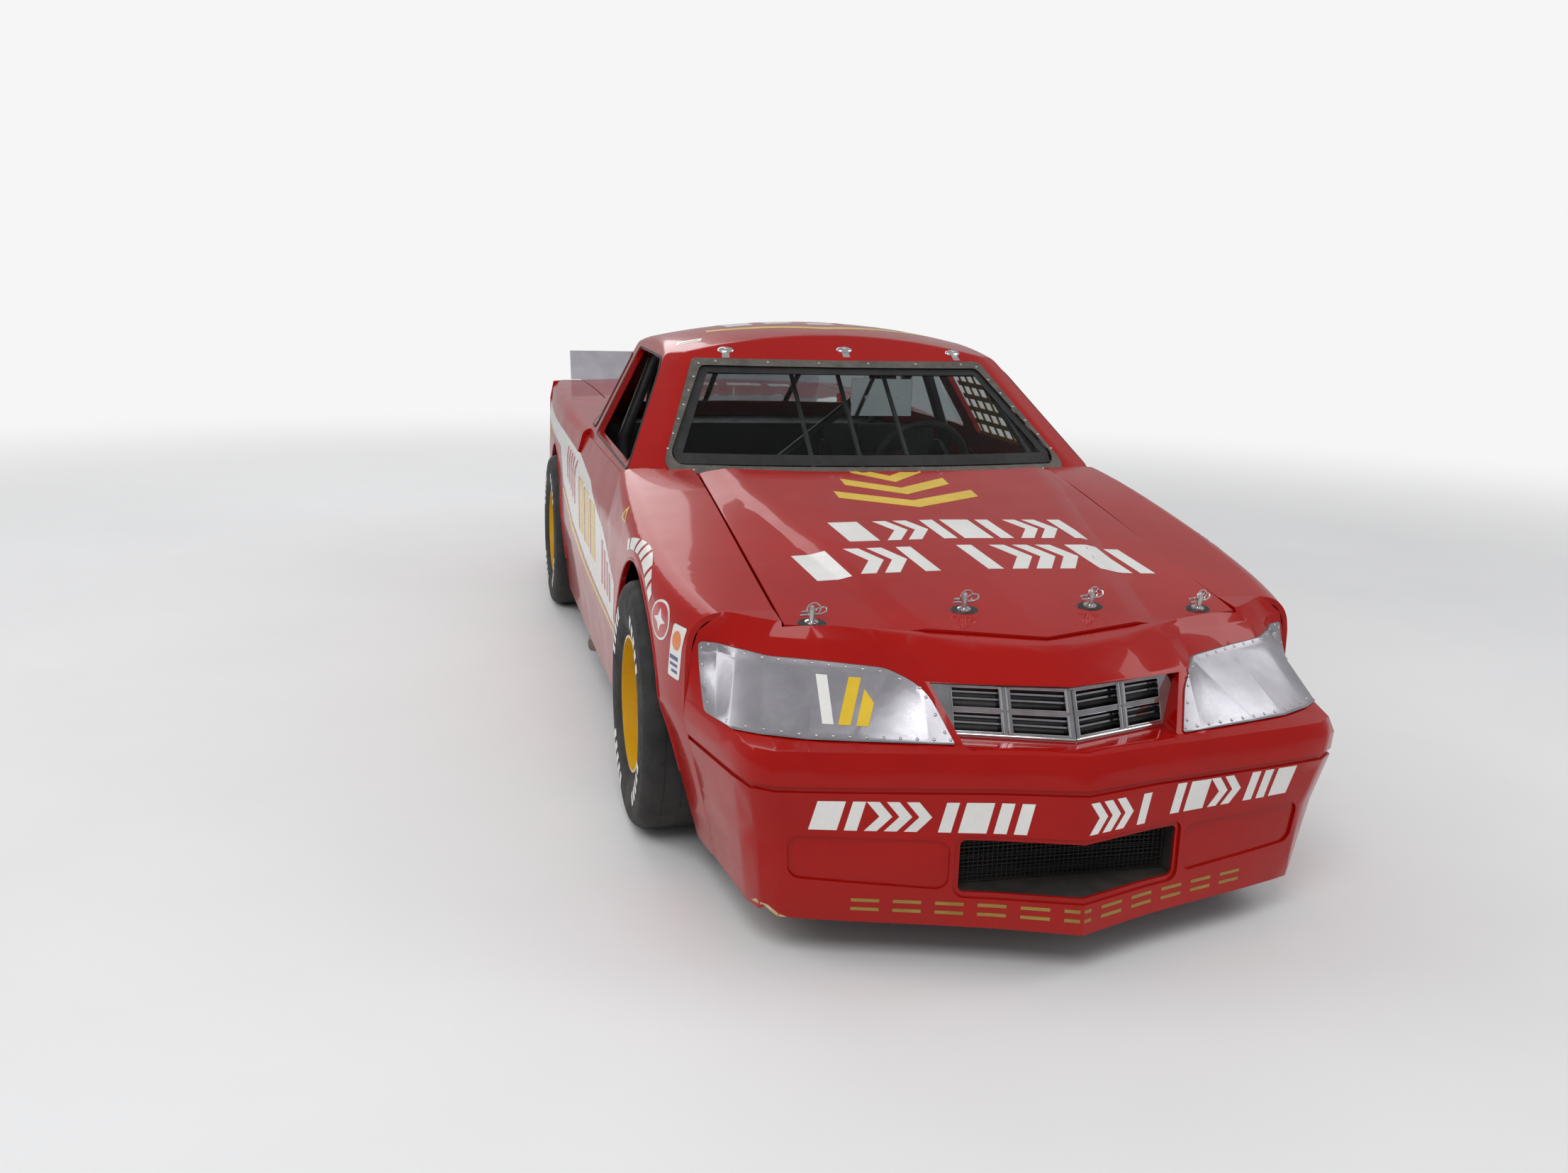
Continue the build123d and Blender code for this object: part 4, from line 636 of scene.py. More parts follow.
bm = bmesh.new()
for side in (-1, 1):
    for inner, outer in beads["columns"]:
        for low, high in beads["rows"]:
            loop = slantBar(side * inner, side * outer, low, high)
            for start, end in zip(loop, loop[1:] + loop[:1]):
                addRod(bm, onGrille(*start), onGrille(*end), beads["edge"], 8)
    for x in beads["posts"]:
        for low, high in beads["rows"]:
            foot, top = low - beads["postEnd"], high + beads["postEnd"]
            addRod(bm, onGrille(side * x, foot), onGrille(side * x, top), beads["post"], 10)
    addRod(bm, onGrille(0, beads["lipHeight"]), onGrille(side * beads["lipHalf"], beads["lipHeight"]),
           beads["lip"], 14)
turnedPiece(bm, "grille_beads", "chrome")
inlet = {"half": 262, "low": 190, "high": 311, "cellsAcross": 44, "cellsUp": 10, "wire": 0.0011,
         "station": 148}
bm = bmesh.new()
for k in range(inlet["cellsAcross"] + 1):
    x = -inlet["half"] + 2 * inlet["half"] * k / inlet["cellsAcross"]
    addRod(bm, spot(x, inlet["station"], inlet["low"]), spot(x, inlet["station"], inlet["high"]),
           inlet["wire"], 5)
for k in range(inlet["cellsUp"] + 1):
    z = inlet["low"] + (inlet["high"] - inlet["low"]) * k / inlet["cellsUp"]
    addRod(bm, spot(-inlet["half"], inlet["station"], z), spot(inlet["half"], inlet["station"], z),
           inlet["wire"], 5)
finishPiece(bm, "inlet_screen", "blackRubber")
bm = bmesh.new()
addBox(bm, spot(-275, 190, 180), spot(275, 200, 322))
for z in range(196, 305, 9):
    addBox(bm, spot(-262, 176, z), spot(262, 189.5, z + 2))
finishPiece(bm, "inlet_core", "blackSatin")

# Sheets that close the way from the inlet to its core, and the space behind each rear wheel
duct = {"half": 268, "sheet": 3, "mouth": 115, "end": 191, "low": (183, 24), "high": (316, 34)}
splash = {"station": 4322, "sheet": 3,
          "outline": ((502, 240), (803, 240), (816, 350), (831, 500), (830, 560), (502, 560))}


def addSheet(bm, outline, along):
    # a thin sheet from its outline, thickened along one direction
    made = bmesh.ops.extrude_face_region(bm, geom=[addFace(bm, outline)])["geom"]
    bmesh.ops.translate(bm, verts=[item for item in made if isinstance(item, bmesh.types.BMVert)], vec=along)


bm = bmesh.new()
half = duct["half"]
for z, nose in (duct["low"], duct["high"]):
    plan = ((0, nose), (half, duct["mouth"]), (half, duct["end"]), (-half, duct["end"]),
            (-half, duct["mouth"]))
    addSheet(bm, [spot(x, station, z) for x, station in plan], (0, 0, duct["sheet"] / 1000))
for side in (-1, 1):
    near, far = sorted((side * half, side * (half + duct["sheet"])))
    addBox(bm, spot(near, duct["mouth"], duct["low"][0]),
           spot(far, duct["end"], duct["high"][0] + duct["sheet"]))
turnedPiece(bm, "inlet_duct", "blackSatin")
bm = bmesh.new()
for side in (-1, 1):
    addSheet(bm, [spot(side * x, splash["station"], z) for x, z in splash["outline"]],
             (0, splash["sheet"] / 1000, 0))
turnedPiece(bm, "rear_splash_sheets", "blackSatin")
print("nose details built")


# Graphics on the nose and hood: rows of bars, blocks and arrows
def motifRow(start, end, pattern, low, high, slant=0):
    # bars (|), blocks (#) and nested arrows (>) from start to end, spaced by about half a bar
    gap, arrowTip = 0.55, 1.1
    marks, at, tip = [], 0.0, 0.0
    for mark in pattern:
        if mark != ">":
            at += tip
        wide = 2.2 if mark == "#" else 1.0
        marks.append((mark, at, wide))
        at += wide + gap
        tip = arrowTip if mark == ">" else 0.0
    unit = (end - start) / (at - gap + tip)
    outlines = []
    for mark, at, wide in marks:
        u, w, middle = start + at * unit, wide * unit, (low + high) / 2
        if mark == ">":
            outlines.append([(u, low), (u + w, low), (u + 2.1 * w, middle), (u + w, high), (u, high),
                             (u + 1.1 * w, middle)])
        else:
            outlines.append(slantBar(u, u + w, low, high, slant))
    return outlines


def chevron(u, v, half, depth, thick):
    return [(u - half, v), (u, v - depth), (u + half, v), (u + half, v + thick), (u, v + thick - depth),
            (u - half, v + thick)]


nose, plates, hoodOnly = ("nose_fascia",), ("headlight_covers",), ("hood",)
roof, glass, tailPanel, lampsOnly = ("roof_shell",), ("windshield",), ("tail_panel",), ("tail_lamps",)
noseRow = {"low": 334, "high": 408, "slant": 14}
whiteBars = []
for start, end, pattern, drop in ((-604, -128, "#|>>>|#||", 0), (6, 166, ">>>|", 4),
                                  (238, 592, "|#>>||#", 15)):
    whiteBars += motifRow(start, end, pattern, noseRow["low"] + drop, noseRow["high"] + drop,
                          noseRow["slant"])
layVinyl("nose_white_bars", whiteBars, "front", nose, "whiteVinyl")
goldBars = [slantBar(u, u + 62, v, v + 8) for u in range(-500, 500, 92) for v in (134, 156)]
layVinyl("nose_gold_bars", goldBars, "front", nose, "goldVinyl")
layVinyl("plate_mark_white", [slantBar(-560, -536, 556, 640, 12)], "front", plates, "whiteVinyl")
layVinyl("plate_mark_yellow", [[(-526, 556), (-500, 556), (-452, 640), (-478, 640)],
                               [(-488, 556), (-462, 556), (-438, 598), (-451, 621)]], "front", plates,
         "yellowVinyl")
chevrons = [chevron(-14, 1300 + 118 * k, 220 - 52 * k, 100, 62) for k in range(3)]
layVinyl("hood_chevrons", chevrons, "top", hoodOnly, "yellowVinyl", "hood_lid")
hoodRows = motifRow(-302, 404, "#>>|#|>>|", 942, 1092, -24)
hoodRows += motifRow(-452, -118, "#>>|", 716, 890, -28) + motifRow(14, 500, "|>>>#|", 716, 890, -28)
layVinyl("hood_white_bars", hoodRows, "top", hoodOnly, "whiteVinyl", "hood_lid")
print("hood graphics laid")

# Hood pins: dark oval plates and clips on the hood, posts on the chassis
pins = {"places": ((-530, 472), (-146, 468), (189, 469), (498, 483)), "ray": 2000,
        "post": ((0.0, -0.03), (0.0075, -0.03), (0.0075, 0.036), (0.0055, 0.042), (0.003, 0.046),
                 (0.0, 0.046)),
        "foot": ((0.0, 0.002), (0.017, 0.002), (0.0165, 0.005), (0.0105, 0.008), (0.0, 0.008)),
        "clip": ((-0.028, 0.0, 0.020), (0.004, 0.0, 0.022), (0.022, 0.0, 0.024), (0.034, 0.003, 0.029),
                 (0.036, 0.010, 0.035), (0.028, 0.013, 0.037), (0.010, 0.0115, 0.031),
                 (-0.008, 0.0105, 0.026), (-0.024, 0.013, 0.023)), "clipWire": 0.0026,
        "ring": (0.004, 0.0, 0.036), "ringRadius": 0.0165, "ringWire": 0.0021}
postMesh, plateMesh, clipMesh = bmesh.new(), bmesh.new(), bmesh.new()
for x, station in pins["places"]:
    hit, normal = meet(hoodOnly, spot(x, station, pins["ray"]), -upAxis)
    base = standing(hit, normal)
    shape = base @ Matrix.Translation((0, 0, 0.0012)) @ Matrix.Diagonal((1, 0.68, 1, 1))
    bmesh.ops.create_cone(plateMesh, cap_ends=True, segments=24, radius1=0.036, radius2=0.033, depth=0.003,
                          matrix=shape)
    addLathe(postMesh, pins["post"], hit, normal, 16)
    # the hairpin clip with its ring, and its foot on the plate
    turn = base.to_3x3()
    addTube(clipMesh, [hit + turn @ Vector(place) for place in pins["clip"]], pins["clipWire"])
    angles = [k * pi / 8 for k in range(16)]
    loop = [Vector(pins["ring"]) + pins["ringRadius"] * Vector((cos(a), 0.2 * cos(a), sin(a)))
            for a in angles]
    addTube(clipMesh, [hit + turn @ place for place in loop], pins["ringWire"], closed=True)
    addLathe(clipMesh, pins["foot"], hit, normal, 20)
turnedPiece(postMesh, "hood_pin_posts", "steelBright")
turnedPiece(plateMesh, "hood_pin_plates", "blackSatin", "hood_lid")
turnedPiece(clipMesh, "hood_pin_clips", "chrome", "hood_lid")
print("hood pins built")


# Beads and seals round the openings, following the panels
def panelPoints(points, view, targets, lift=0.0):
    toSpace, ray = views[view][:2]
    met = [meet(targets, toSpace(u, v), ray) for u, v in points]
    return [hit + normal * lift for hit, normal in met if hit is not None]


def roundedOutline(points, corner, steps=5):
    # a closed outline with its corners rounded, as places along it
    result = []
    for k in range(len(points)):
        before, here, after = Vector(points[k - 1]), Vector(points[k]), Vector(points[(k + 1) % len(points)])
        start = here + (before - here).normalized() * corner
        end = here + (after - here).normalized() * corner
        for n in range(steps + 1):
            t = n / steps
            result.append(tuple(start * (1 - t) ** 2 + here * 2 * t * (1 - t) + end * t ** 2))
    return result


def between(points, gap):
    # the same closed line with places about one gap apart
    result = []
    for (u0, v0), (u1, v1) in zip(points, points[1:] + points[:1]):
        count = max(1, round(((u1 - u0) ** 2 + (v1 - v0) ** 2) ** 0.5 / gap))
        result += [(u0 + (u1 - u0) * k / count, v0 + (v1 - v0) * k / count) for k in range(count)]
    return result


openings = {
    "sideWindow": ((1793, 921), (2193, 1216), (2288, 1255), (2847, 1261), (2762, 931)),
    "quarterWindow": ((2873, 941), (2939, 1228), (3083, 1222), (3400, 970)),
    "rearGlass": ((-567, 970), (567, 970), (437, 1237), (-437, 1237)),
}
arch = {"radius": 410, "centre": 350, "turns": [radians(-8 + k * 4) for k in range(50)], "bead": 0.0045}
for side in ("left", "right"):
    for name, corner in (("sideWindow", 30), ("quarterWindow", 26)):
        line = between(roundedOutline(openings[name], corner), 60)
        tubePiece(f"{name}_bead_{side}", panelPoints(line, side, roof, 0.0005), 0.0035, "blackRubber")
    for end, station, panel in (("front", 1115, "fender_"), ("rear", 3909, "quarter_")):
        line = [(station + arch["radius"] * cos(a), arch["centre"] + arch["radius"] * sin(a))
                for a in arch["turns"]]
        tubePiece(f"arch_bead_{end}_{side}", panelPoints(line, side, (panel + side,), -0.001), arch["bead"],
                  "redPaint", "red_paint", False)
line = between(roundedOutline(openings["rearGlass"], 52), 50)
tubePiece("rear_glass_seal", panelPoints(line, "rear", roof, 0.001), 0.006, "blackRubber")

# Windshield: dark border inside the metal strip, bolts along the strip, three clips over the roof edge
for name, outlines in (
        ("low", [[(-676, 946), (676, 946), (652, 975), (-652, 975)]]),
        ("high", [[(-520, 1212), (520, 1212), (504, 1234), (-504, 1234)]]),
        ("sides", [[(sign * 655, 975), (sign * 674, 950), (sign * 507, 1234), (sign * 486, 1212),
                    (sign * 622, 975)]
                   for sign in (-1, 1)])):
    layVinyl("glass_border_" + name, outlines, "front", glass, "blackRubber", cell=30)
boltLine = [(sign * (694 - 184 * k / 7), 945 + 296 * k / 7) for sign in (-1, 1) for k in range(8)]
boltLine += [(-450 + 180 * k, 1249) for k in range(6)] + [(-600 + 200 * k, 931) for k in range(7)]
bolts = {"radius": 0.0048, "rise": 0.003}
setStuds("windshield_bolts", boltLine, ("windshield_frame",), bolts["radius"], bolts["rise"])
clip = {"millimetre": 0.001, "places": ((-406, 2200), (19, 2180), (436, 2207)), "dome": (30, 17, 9),
        "screw": (6, 6, 4), "tab": (26, 34, 3)}
bm = bmesh.new()
for x, station in clip["places"]:
    shape = standing(*meet(roof, spot(x, station, pins["ray"]), -upAxis))
    addBall(bm, shape, clip["millimetre"], clip["dome"])
    addBall(bm, shape @ Matrix.Translation((0, 0, 0.008)), clip["millimetre"], clip["screw"], 12, 6)
    shape = shape @ Matrix.Translation((0, -0.026, 0.0)) @ Matrix.Diagonal((*clip["tab"], 1))
    bmesh.ops.create_cube(bm, size=clip["millimetre"], matrix=shape)
finishPiece(bm, "windshield_clips", "chrome", "chassis", "chrome", 50)
layVinyl("rear_glass_straps", [slantBar(x - 13, x + 13, 3262, 3842) for x in (-190, 190)], "top",
         ("rear_glass", "roof_shell", "rear_filler"), "steelBright", cell=20, lift=0.0016)
print("glass dressed")

# Side graphics: a white sweep with yellow and red bars, marks round the front of the wheel opening,
# plain badges and cards on the front fender
sweep = [(1556, 600), (1900, 712), (2400, 800), (3000, 838), (3500, 858), (4200, 872), (4880, 880),
         (4880, 812), (4250, 800), (3560, 786), (3400, 650), (3000, 565), (2400, 505), (1900, 478),
         (1556, 462)]
under = [(1556, 446), (1900, 460), (2400, 487), (3000, 547), (3400, 628), (3440, 614), (3000, 519),
         (2400, 461), (1900, 436), (1556, 424)]
bars = [slantBar(2850 + 84 * k, 2892 + 84 * k, 640 + 14 * k, 806 + 4 * k, 44) for k in range(5)]
bars += [slantBar(1640 + 74 * k, 1676 + 74 * k, 520 + 4 * k, 606 + 22 * k, 24) for k in range(4)]
archMarks = {"inner": 436, "outer": 468, "station": 1115,
             "sweeps": ((71, 5), (78, 9), (89, 5), (96, 5), (103, 9), (114, 5), (121, 5))}
marks = []
for start, wide in archMarks["sweeps"]:
    arc = [radians(start + wide * k / 3) for k in range(4)]
    marks.append([(archMarks["station"] + radius * cos(a), arch["centre"] + radius * sin(a))
                  for radius, turns in ((archMarks["inner"], arc), (archMarks["outer"], arc[::-1]))
                  for a in turns])
badge = (744, 684)
star = [(badge[0] + r * 44 * cos(a), badge[1] + r * 30 * sin(a)) for r, a in
        [((0.42 if k % 2 else 1.0), pi / 2 + k * pi / 4) for k in range(8)]]
cardBars = [slantBar(600, 648, 612, 622), slantBar(602, 646, 596, 603), slantBar(602, 636, 580, 587)]
tailBars = [slantBar(4380 + 96 * k, 4440 + 96 * k, 700, 780, 24) for k in range(4)]


def leaning(start, end):
    # three bars that rise and grow along the sweep
    return [slantBar(start + 210 * k, end + 210 * k, 560 + 8 * k, 748 + 10 * k, 62) for k in range(3)]


# each row: name, outlines, material, cell, and the lift where it lies on another piece of vinyl
sideVinyl = (
    ("side_sweep", [sweep], "whiteVinyl", 26), ("side_line", [under], "yellowVinyl", 26),
    ("side_blocks", leaning(2090, 2220), "yellowVinyl", 26, 0.0013),
    ("side_shades", leaning(2232, 2256), "redVinyl", 26, 0.0013),
    ("side_bars", bars, "redVinyl", 26, 0.0013),
    ("side_tail", tailBars, "yellowVinyl", 26),
    ("arch_marks", marks, "whiteVinyl", 7, 0.0011),
    ("badge_rim", [roundOutline(*badge, 72, 50)], "whiteVinyl", 12),
    ("badge_face", [roundOutline(*badge, 64, 44)], "redVinyl", 12, 0.0012),
    ("badge_star", [star], "whiteVinyl", 12, 0.0017),
    ("card", [cardOutline(590, 660, 566, 700, 8, -0.12)], "whiteVinyl", 8),
    ("card_disc", [roundOutline(614, 662, 24, 24)], "orangeVinyl", 8, 0.0014),
    ("card_bars", cardBars, "blueVinyl", 8, 0.0016),
    ("corner_mark", [[(1360, 822), (1462, 822), (1412, 866)]], "yellowVinyl", 7, 0.001),
    ("corner_mark_core", [[(1387, 828), (1436, 828), (1412, 850)]], "redVinyl", 7, 0.0018))
for side in ("left", "right"):
    sidePanels = ("nose_fascia", "fender_" + side, "door_" + side, "quarter_" + side)
    for name, outlines, material, *cellAndLift in sideVinyl:
        layVinyl(f"{name}_{side}", outlines, side, sidePanels, material, "chassis", *cellAndLift)
layVinyl("roof_card", [slantBar(-560, -470, 2330, 2372, 12)], "top", roof, "whiteVinyl")
layVinyl("roof_card_bar", [slantBar(-548, -482, 2342, 2354, 4)], "top", roof, "goldVinyl", lift=0.0012)
roofBars = [slantBar(-330 + 150 * k, -230 + 150 * k, 2560, 2860) for k in (0, 1, 3, 4)]
roofBars += [slantBar(-30, 70, 2500, 2575), slantBar(-30, 70, 2730, 2860)]
layVinyl("roof_bars", roofBars, "top", roof, "whiteVinyl", cell=30)
layVinyl("roof_chevron", [chevron(0, 2480, 420, 110, 50)], "top", roof, "yellowVinyl", cell=30)
deckBars = [slantBar(u, u + w, 4460, 4620, 20)
            for u, w in ((-420, 180), (-200, 90), (-80, 90), (60, 180), (280, 120))]
layVinyl("deck_bars", deckBars, "top", ("decklid",), "whiteVinyl", "deck_lid", cell=24)
print("side graphics laid")

# Wheel details: nuts, dust cap, valve and a brake disc on each wheel
wheelParts = {
    "nutCount": 5, "firstTurn": 0.3, "nutCircle": 0.061, "nutRadius": 0.0125, "nut": (0.028, 0.047),
    "washerRadius": 0.0125 * 1.35, "washer": (0.0275, 0.0305), "studRadius": 0.006, "stud": (0.047, 0.055),
    "valveRadius": 0.0045, "valve": (0.060, 0.084), "valvePlace": 0.118,
    "cap": ((0.0, 0.058), (0.014, 0.0575), (0.024, 0.055), (0.031, 0.049), (0.033, 0.042), (0.033, 0.032),
            (0.040, 0.0305), (0.040, 0.0282), (0.0, 0.0282)),
    "disc": ((0.066, -0.051), (0.150, -0.051), (0.150, -0.0475), (0.140, -0.0470), (0.140, -0.0430),
             (0.150, -0.0425), (0.150, -0.039), (0.090, -0.039), (0.086, -0.030), (0.066, -0.030))}
for corner, (side, station) in corners.items():
    body = "road_wheel_" + corner
    middle = spot(tyre["across"] * side, station, tyre["height"])
    outward = acrossAxis * side
    nuts, cap, rotor = bmesh.new(), bmesh.new(), bmesh.new()
    for k in range(wheelParts["nutCount"]):
        turn = 2 * pi * k / wheelParts["nutCount"] + wheelParts["firstTurn"]
        seat = middle + Vector((0, cos(turn), sin(turn))) * wheelParts["nutCircle"]
        for part, count in (("washer", 18), ("nut", 6), ("stud", 10)):
            foot, top = (seat + outward * along for along in wheelParts[part])
            addRod(nuts, foot, top, wheelParts[part + "Radius"], count)
    stem = middle + Vector((0, wheelParts["valvePlace"], wheelParts["valvePlace"]))
    foot, top = (stem + outward * along for along in wheelParts["valve"])
    addRod(nuts, foot, top, wheelParts["valveRadius"], 10)
    addLathe(cap, wheelParts["cap"], middle, outward, 28)
    addLathe(rotor, wheelParts["disc"], middle, outward, 48, closed=True)
    turnedPiece(nuts, "lug_nuts_" + corner, "steelBright", body)
    turnedPiece(cap, "hub_cap_" + corner, "chrome", body)
    turnedPiece(rotor, "brake_disc_" + corner, "steelBright", body)
print("wheel details built")

# Driver's seat: a shell in the shape of its node, with sewn pads and a webbing harness
seat = {"middle": 370, "base": ((2420, 310), (2700, 275)), "back": ((2700, 275), (2835, 960)),
        "padThick": 0.042, "voxel": 0.008, "seamHalf": 0.02, "seamDepth": 0.009}
cloth = {"quality": 5, "use_pressure": True, "uniform_pressure_force": 4, "tension_stiffness": 12,
         "compression_stiffness": 12}
clothFrames = 20
dressNode("driver_seat", "blackSatin", "chassis", "black_paint")


def inflate(piece, cap):
    # a closed form swollen like a stuffed pad, its resting side kept flat
    remesh = piece.modifiers.new("remesh", "REMESH")
    remesh.mode = "VOXEL"
    remesh.voxel_size = seat["voxel"]
    shaped = bpy.data.meshes.new_from_object(piece.evaluated_get(bpy.context.evaluated_depsgraph_get()))
    piece.modifiers.clear()
    piece.data = shaped
    first = [vert.co.copy() for vert in shaped.vertices]
    settings = piece.modifiers.new("cloth", "CLOTH").settings
    for key, value in cloth.items():
        setattr(settings, key, value)
    settings.effector_weights.gravity = 0
    for step in range(1, clothFrames + 1):
        scene.frame_set(step)
    swollen = piece.evaluated_get(bpy.context.evaluated_depsgraph_get()).data
    for vert, start, end in zip(shaped.vertices, first, [vert.co.copy() for vert in swollen.vertices]):
        move = end - start
        if move.length > cap:
            move *= cap / move.length
        move.z = max(move.z, 0)
        vert.co = start + move
    piece.modifiers.clear()
    scene.frame_set(1)


def makePad(name, width, length, thick, line, share, channels, cap=0.012):
    # a pad with sewn channels, laid at a share of the line between two (station, z) ends, its own Y along it
    bm = bmesh.new()
    addBox(bm, (-width / 2, -length / 2, 0), (width / 2, length / 2, thick), thick * 0.3)
    pad = finishPiece(bm, name, "seatCloth", "chassis", "seat_cover", 80)
    inflate(pad, cap)
    for vert in pad.data.vertices:
        if vert.co.z < thick * 0.5:
            continue
        for axis, place in channels:
            far = abs(vert.co[axis] - place)
            if far < seat["seamHalf"]:
                vert.co.z -= seat["seamDepth"] * (1 - (far / seat["seamHalf"])) ** 1.5
    start, end = (spot(seat["middle"], *place) for place in line)
    along = (end - start).normalized()
    out = acrossAxis.cross(along)
    turn = Matrix((acrossAxis, along, out)).transposed().to_4x4()
    turn.translation = start + (end - start) * share + out * 0.001
    pad.data.transform(turn)
    pad.data.materials.clear()
    pad.data.materials.append(finishes["seatCloth"])
    pad.data.shade_smooth()
    fine = pad.modifiers.new("fine", "SUBSURF")
    fine.levels = 1
    fine.render_levels = 1


makePad("seat_base_pad", 0.40, 0.262, seat["padThick"], seat["base"], 0.46, ((0, -0.12), (0, 0.0), (0, 0.12)))
makePad("seat_back_pad", 0.39, 0.50, seat["padThick"], seat["back"], 0.46,
        ((1, -0.15), (1, -0.05), (1, 0.05), (1, 0.15)))
makePad("seat_head_pad", 0.20, 0.105, 0.055, seat["back"], 0.925, (), 0.008)


def addStrap(bm, points, width, side):
    # a flat strap through points, its width along a fixed direction
    side = Vector(side).normalized() * width / 2
    pairs = [(bm.verts.new(point - side), bm.verts.new(point + side)) for point in points]
    for low, high in zip(pairs[:-1], pairs[1:]):
        bm.faces.new((low[0], low[1], high[1], high[0]))


straps = {
    "shoulder": ((0, 2822, 838), (0, 2798, 846), (0, 2762, 836), (-1, 2744, 800), (-4, 2728, 715),
                 (-8, 2712, 630), (-16, 2694, 545), (-30, 2678, 465), (-48, 2655, 408), (-66, 2625, 380)),
    "lap": ((205, 2705, 300), (196, 2690, 345), (170, 2668, 368), (120, 2645, 376), (60, 2627, 379),
            (24, 2620, 379)),
    "crotch": ((0, 2618, 378), (0, 2580, 366), (0, 2520, 366), (0, 2460, 368), (0, 2430, 364), (0, 2414, 350),
               (0, 2411, 320), (0, 2411, 262)), "shoulderAt": 78, "thick": 0.0022}
harness, buckle = bmesh.new(), bmesh.new()
for sign in (-1, 1):
    for name, offset, width, way in (("shoulder", straps["shoulderAt"], 0.072, acrossAxis),
                                     ("lap", 0, 0.070, (0, 0.35, 1))):
        addStrap(harness, [spot(seat["middle"] + offset * sign + dx * sign, station, z)
                           for dx, station, z in straps[name]], width, way)
addStrap(harness, [spot(seat["middle"] + dx, station, z) for dx, station, z in straps["crotch"]], 0.048,
         acrossAxis)
bmesh.ops.solidify(harness, geom=harness.faces[:], thickness=straps["thick"])
turnedPiece(harness, "harness_straps", "redWeb", smoothAngle=50)
addBox(buckle, spot(seat["middle"] - 34, 2596, 380), spot(seat["middle"] + 34, 2640, 389), 0.004)
addBox(buckle, spot(seat["middle"] - 14, 2588, 388), spot(seat["middle"] + 46, 2610, 394), 0.003)
for sign in (-1, 1):
    x = seat["middle"] + straps["shoulderAt"] * sign
    addBox(buckle, spot(x - 40, 2716, 630), spot(x + 22, 2722, 655), 0.002)
finishPiece(buckle, "harness_buckles", "steelBright")
print("seat built")

# Dashboard dials, switches, shift lever, pedals, extinguisher
dials = {"face": (1834, 766), "lean": radians(23),
         "set": ((200, 27), (262, 27), (370, 46), (478, 27), (540, 27)), "marks": 11, "firstMark": -130,
         "markStep": 26, "needle": -0.9, "switches": (90, 114, 138, 162, 186)}
out = Vector((0, cos(dials["lean"]), -sin(dials["lean"])))
upward = out.cross(acrossAxis)
bezels, faces, marks = bmesh.new(), bmesh.new(), bmesh.new()
for x, radius in dials["set"]:
    r = radius / 1000
    middle = spot(x, *dials["face"])
    addLathe(bezels, ((r, -0.012), (r + 0.003, -0.012), (r + 0.004, 0.004), (r + 0.001, 0.007),
                      (r - 0.002, 0.004), (r - 0.002, -0.002)), middle, out, 28, closed=True)
    addLathe(faces, ((0.0, 0.0005), (r - 0.001, 0.0005), (r - 0.001, -0.004), (0.0, -0.004)), middle, out, 28)
    for k in range(dials["marks"]):
        turn = radians(dials["firstMark"] + dials["markStep"] * k)
        way = acrossAxis * sin(turn) + upward * cos(turn)
        addRod(marks, middle + way * (r * 0.70) + out * 0.0012, middle + way * (r * 0.90) + out * 0.0012,
               0.0008, 4)
    way = acrossAxis * sin(dials["needle"]) + upward * cos(dials["needle"])
    addRod(marks, middle - way * (r * 0.15) + out * 0.002, middle + way * (r * 0.72) + out * 0.002, 0.0012, 5,
           0.0005)
for x in dials["switches"]:
    base = spot(x, *dials["face"])
    addRod(bezels, base, base + out * 0.008, 0.006, 12)
    addRod(bezels, base + out * 0.008, base + out * 0.026 + Vector((0, 0, 0.006)), 0.0022, 8, 0.0035)
turnedPiece(bezels, "dial_rims", "chrome")
turnedPiece(faces, "dial_faces", "blackRubber")
turnedPiece(marks, "dial_marks", "whiteVinyl")
lever, knob, pedals = bmesh.new(), bmesh.new(), bmesh.new()
addTube(lever, spots((10, 2180, 425), (14, 2196, 470), (30, 2240, 540), (60, 2290, 610), (72, 2306, 662)),
        0.0085, 12)
addLathe(lever, ((0.0, 0.0), (0.062, 0.0), (0.058, 0.012), (0.040, 0.026), (0.030, 0.030), (0.026, 0.044),
                 (0.014, 0.052), (0.0, 0.052)), spot(10, 2180, 430), upAxis, 24)
addBall(knob, Matrix.Translation(spot(74, 2308, 676)), 0.024, up=12)
turnedPiece(lever, "shift_lever", "steelBright")
finishPiece(knob, "shift_knob", "gripVinyl", smoothAngle=80)
for x, wide in ((285, 26), (365, 34), (450, 22)):
    addTube(pedals, spots((x, 1578, 560), (x, 1640, 540), (x, 1700, 440), (x, 1716, 330)), 0.007)
    addBox(pedals, spot(x - wide, 1712, 270), spot(x + wide, 1722, 340), 0.004)
finishPiece(pedals, "pedals", "steelBright")
bottle, fittings = bmesh.new(), bmesh.new()
addLathe(bottle, ((0.0, -0.17), (0.030, -0.168), (0.048, -0.155), (0.054, -0.135), (0.054, 0.135),
                  (0.048, 0.158), (0.028, 0.176), (0.016, 0.182), (0.016, 0.196), (0.0, 0.196)),
         spot(-300, 2600, 222), acrossAxis, 28)
for x in (-390, -220):
    addLathe(fittings, ((0.0545, -0.012), (0.0565, -0.012), (0.0565, 0.012), (0.0545, 0.012)),
             spot(x, 2600, 222), acrossAxis, 28, closed=True)
    addBox(fittings, spot(x - 12, 2560, 160), spot(x + 12, 2640, 172), 0.002)
addRod(fittings, spot(-104, 2600, 222), spot(-84, 2600, 222), 0.020, 16)
turnedPiece(bottle, "extinguisher", "redVinyl")
turnedPiece(fittings, "extinguisher_fittings", "steelBright")

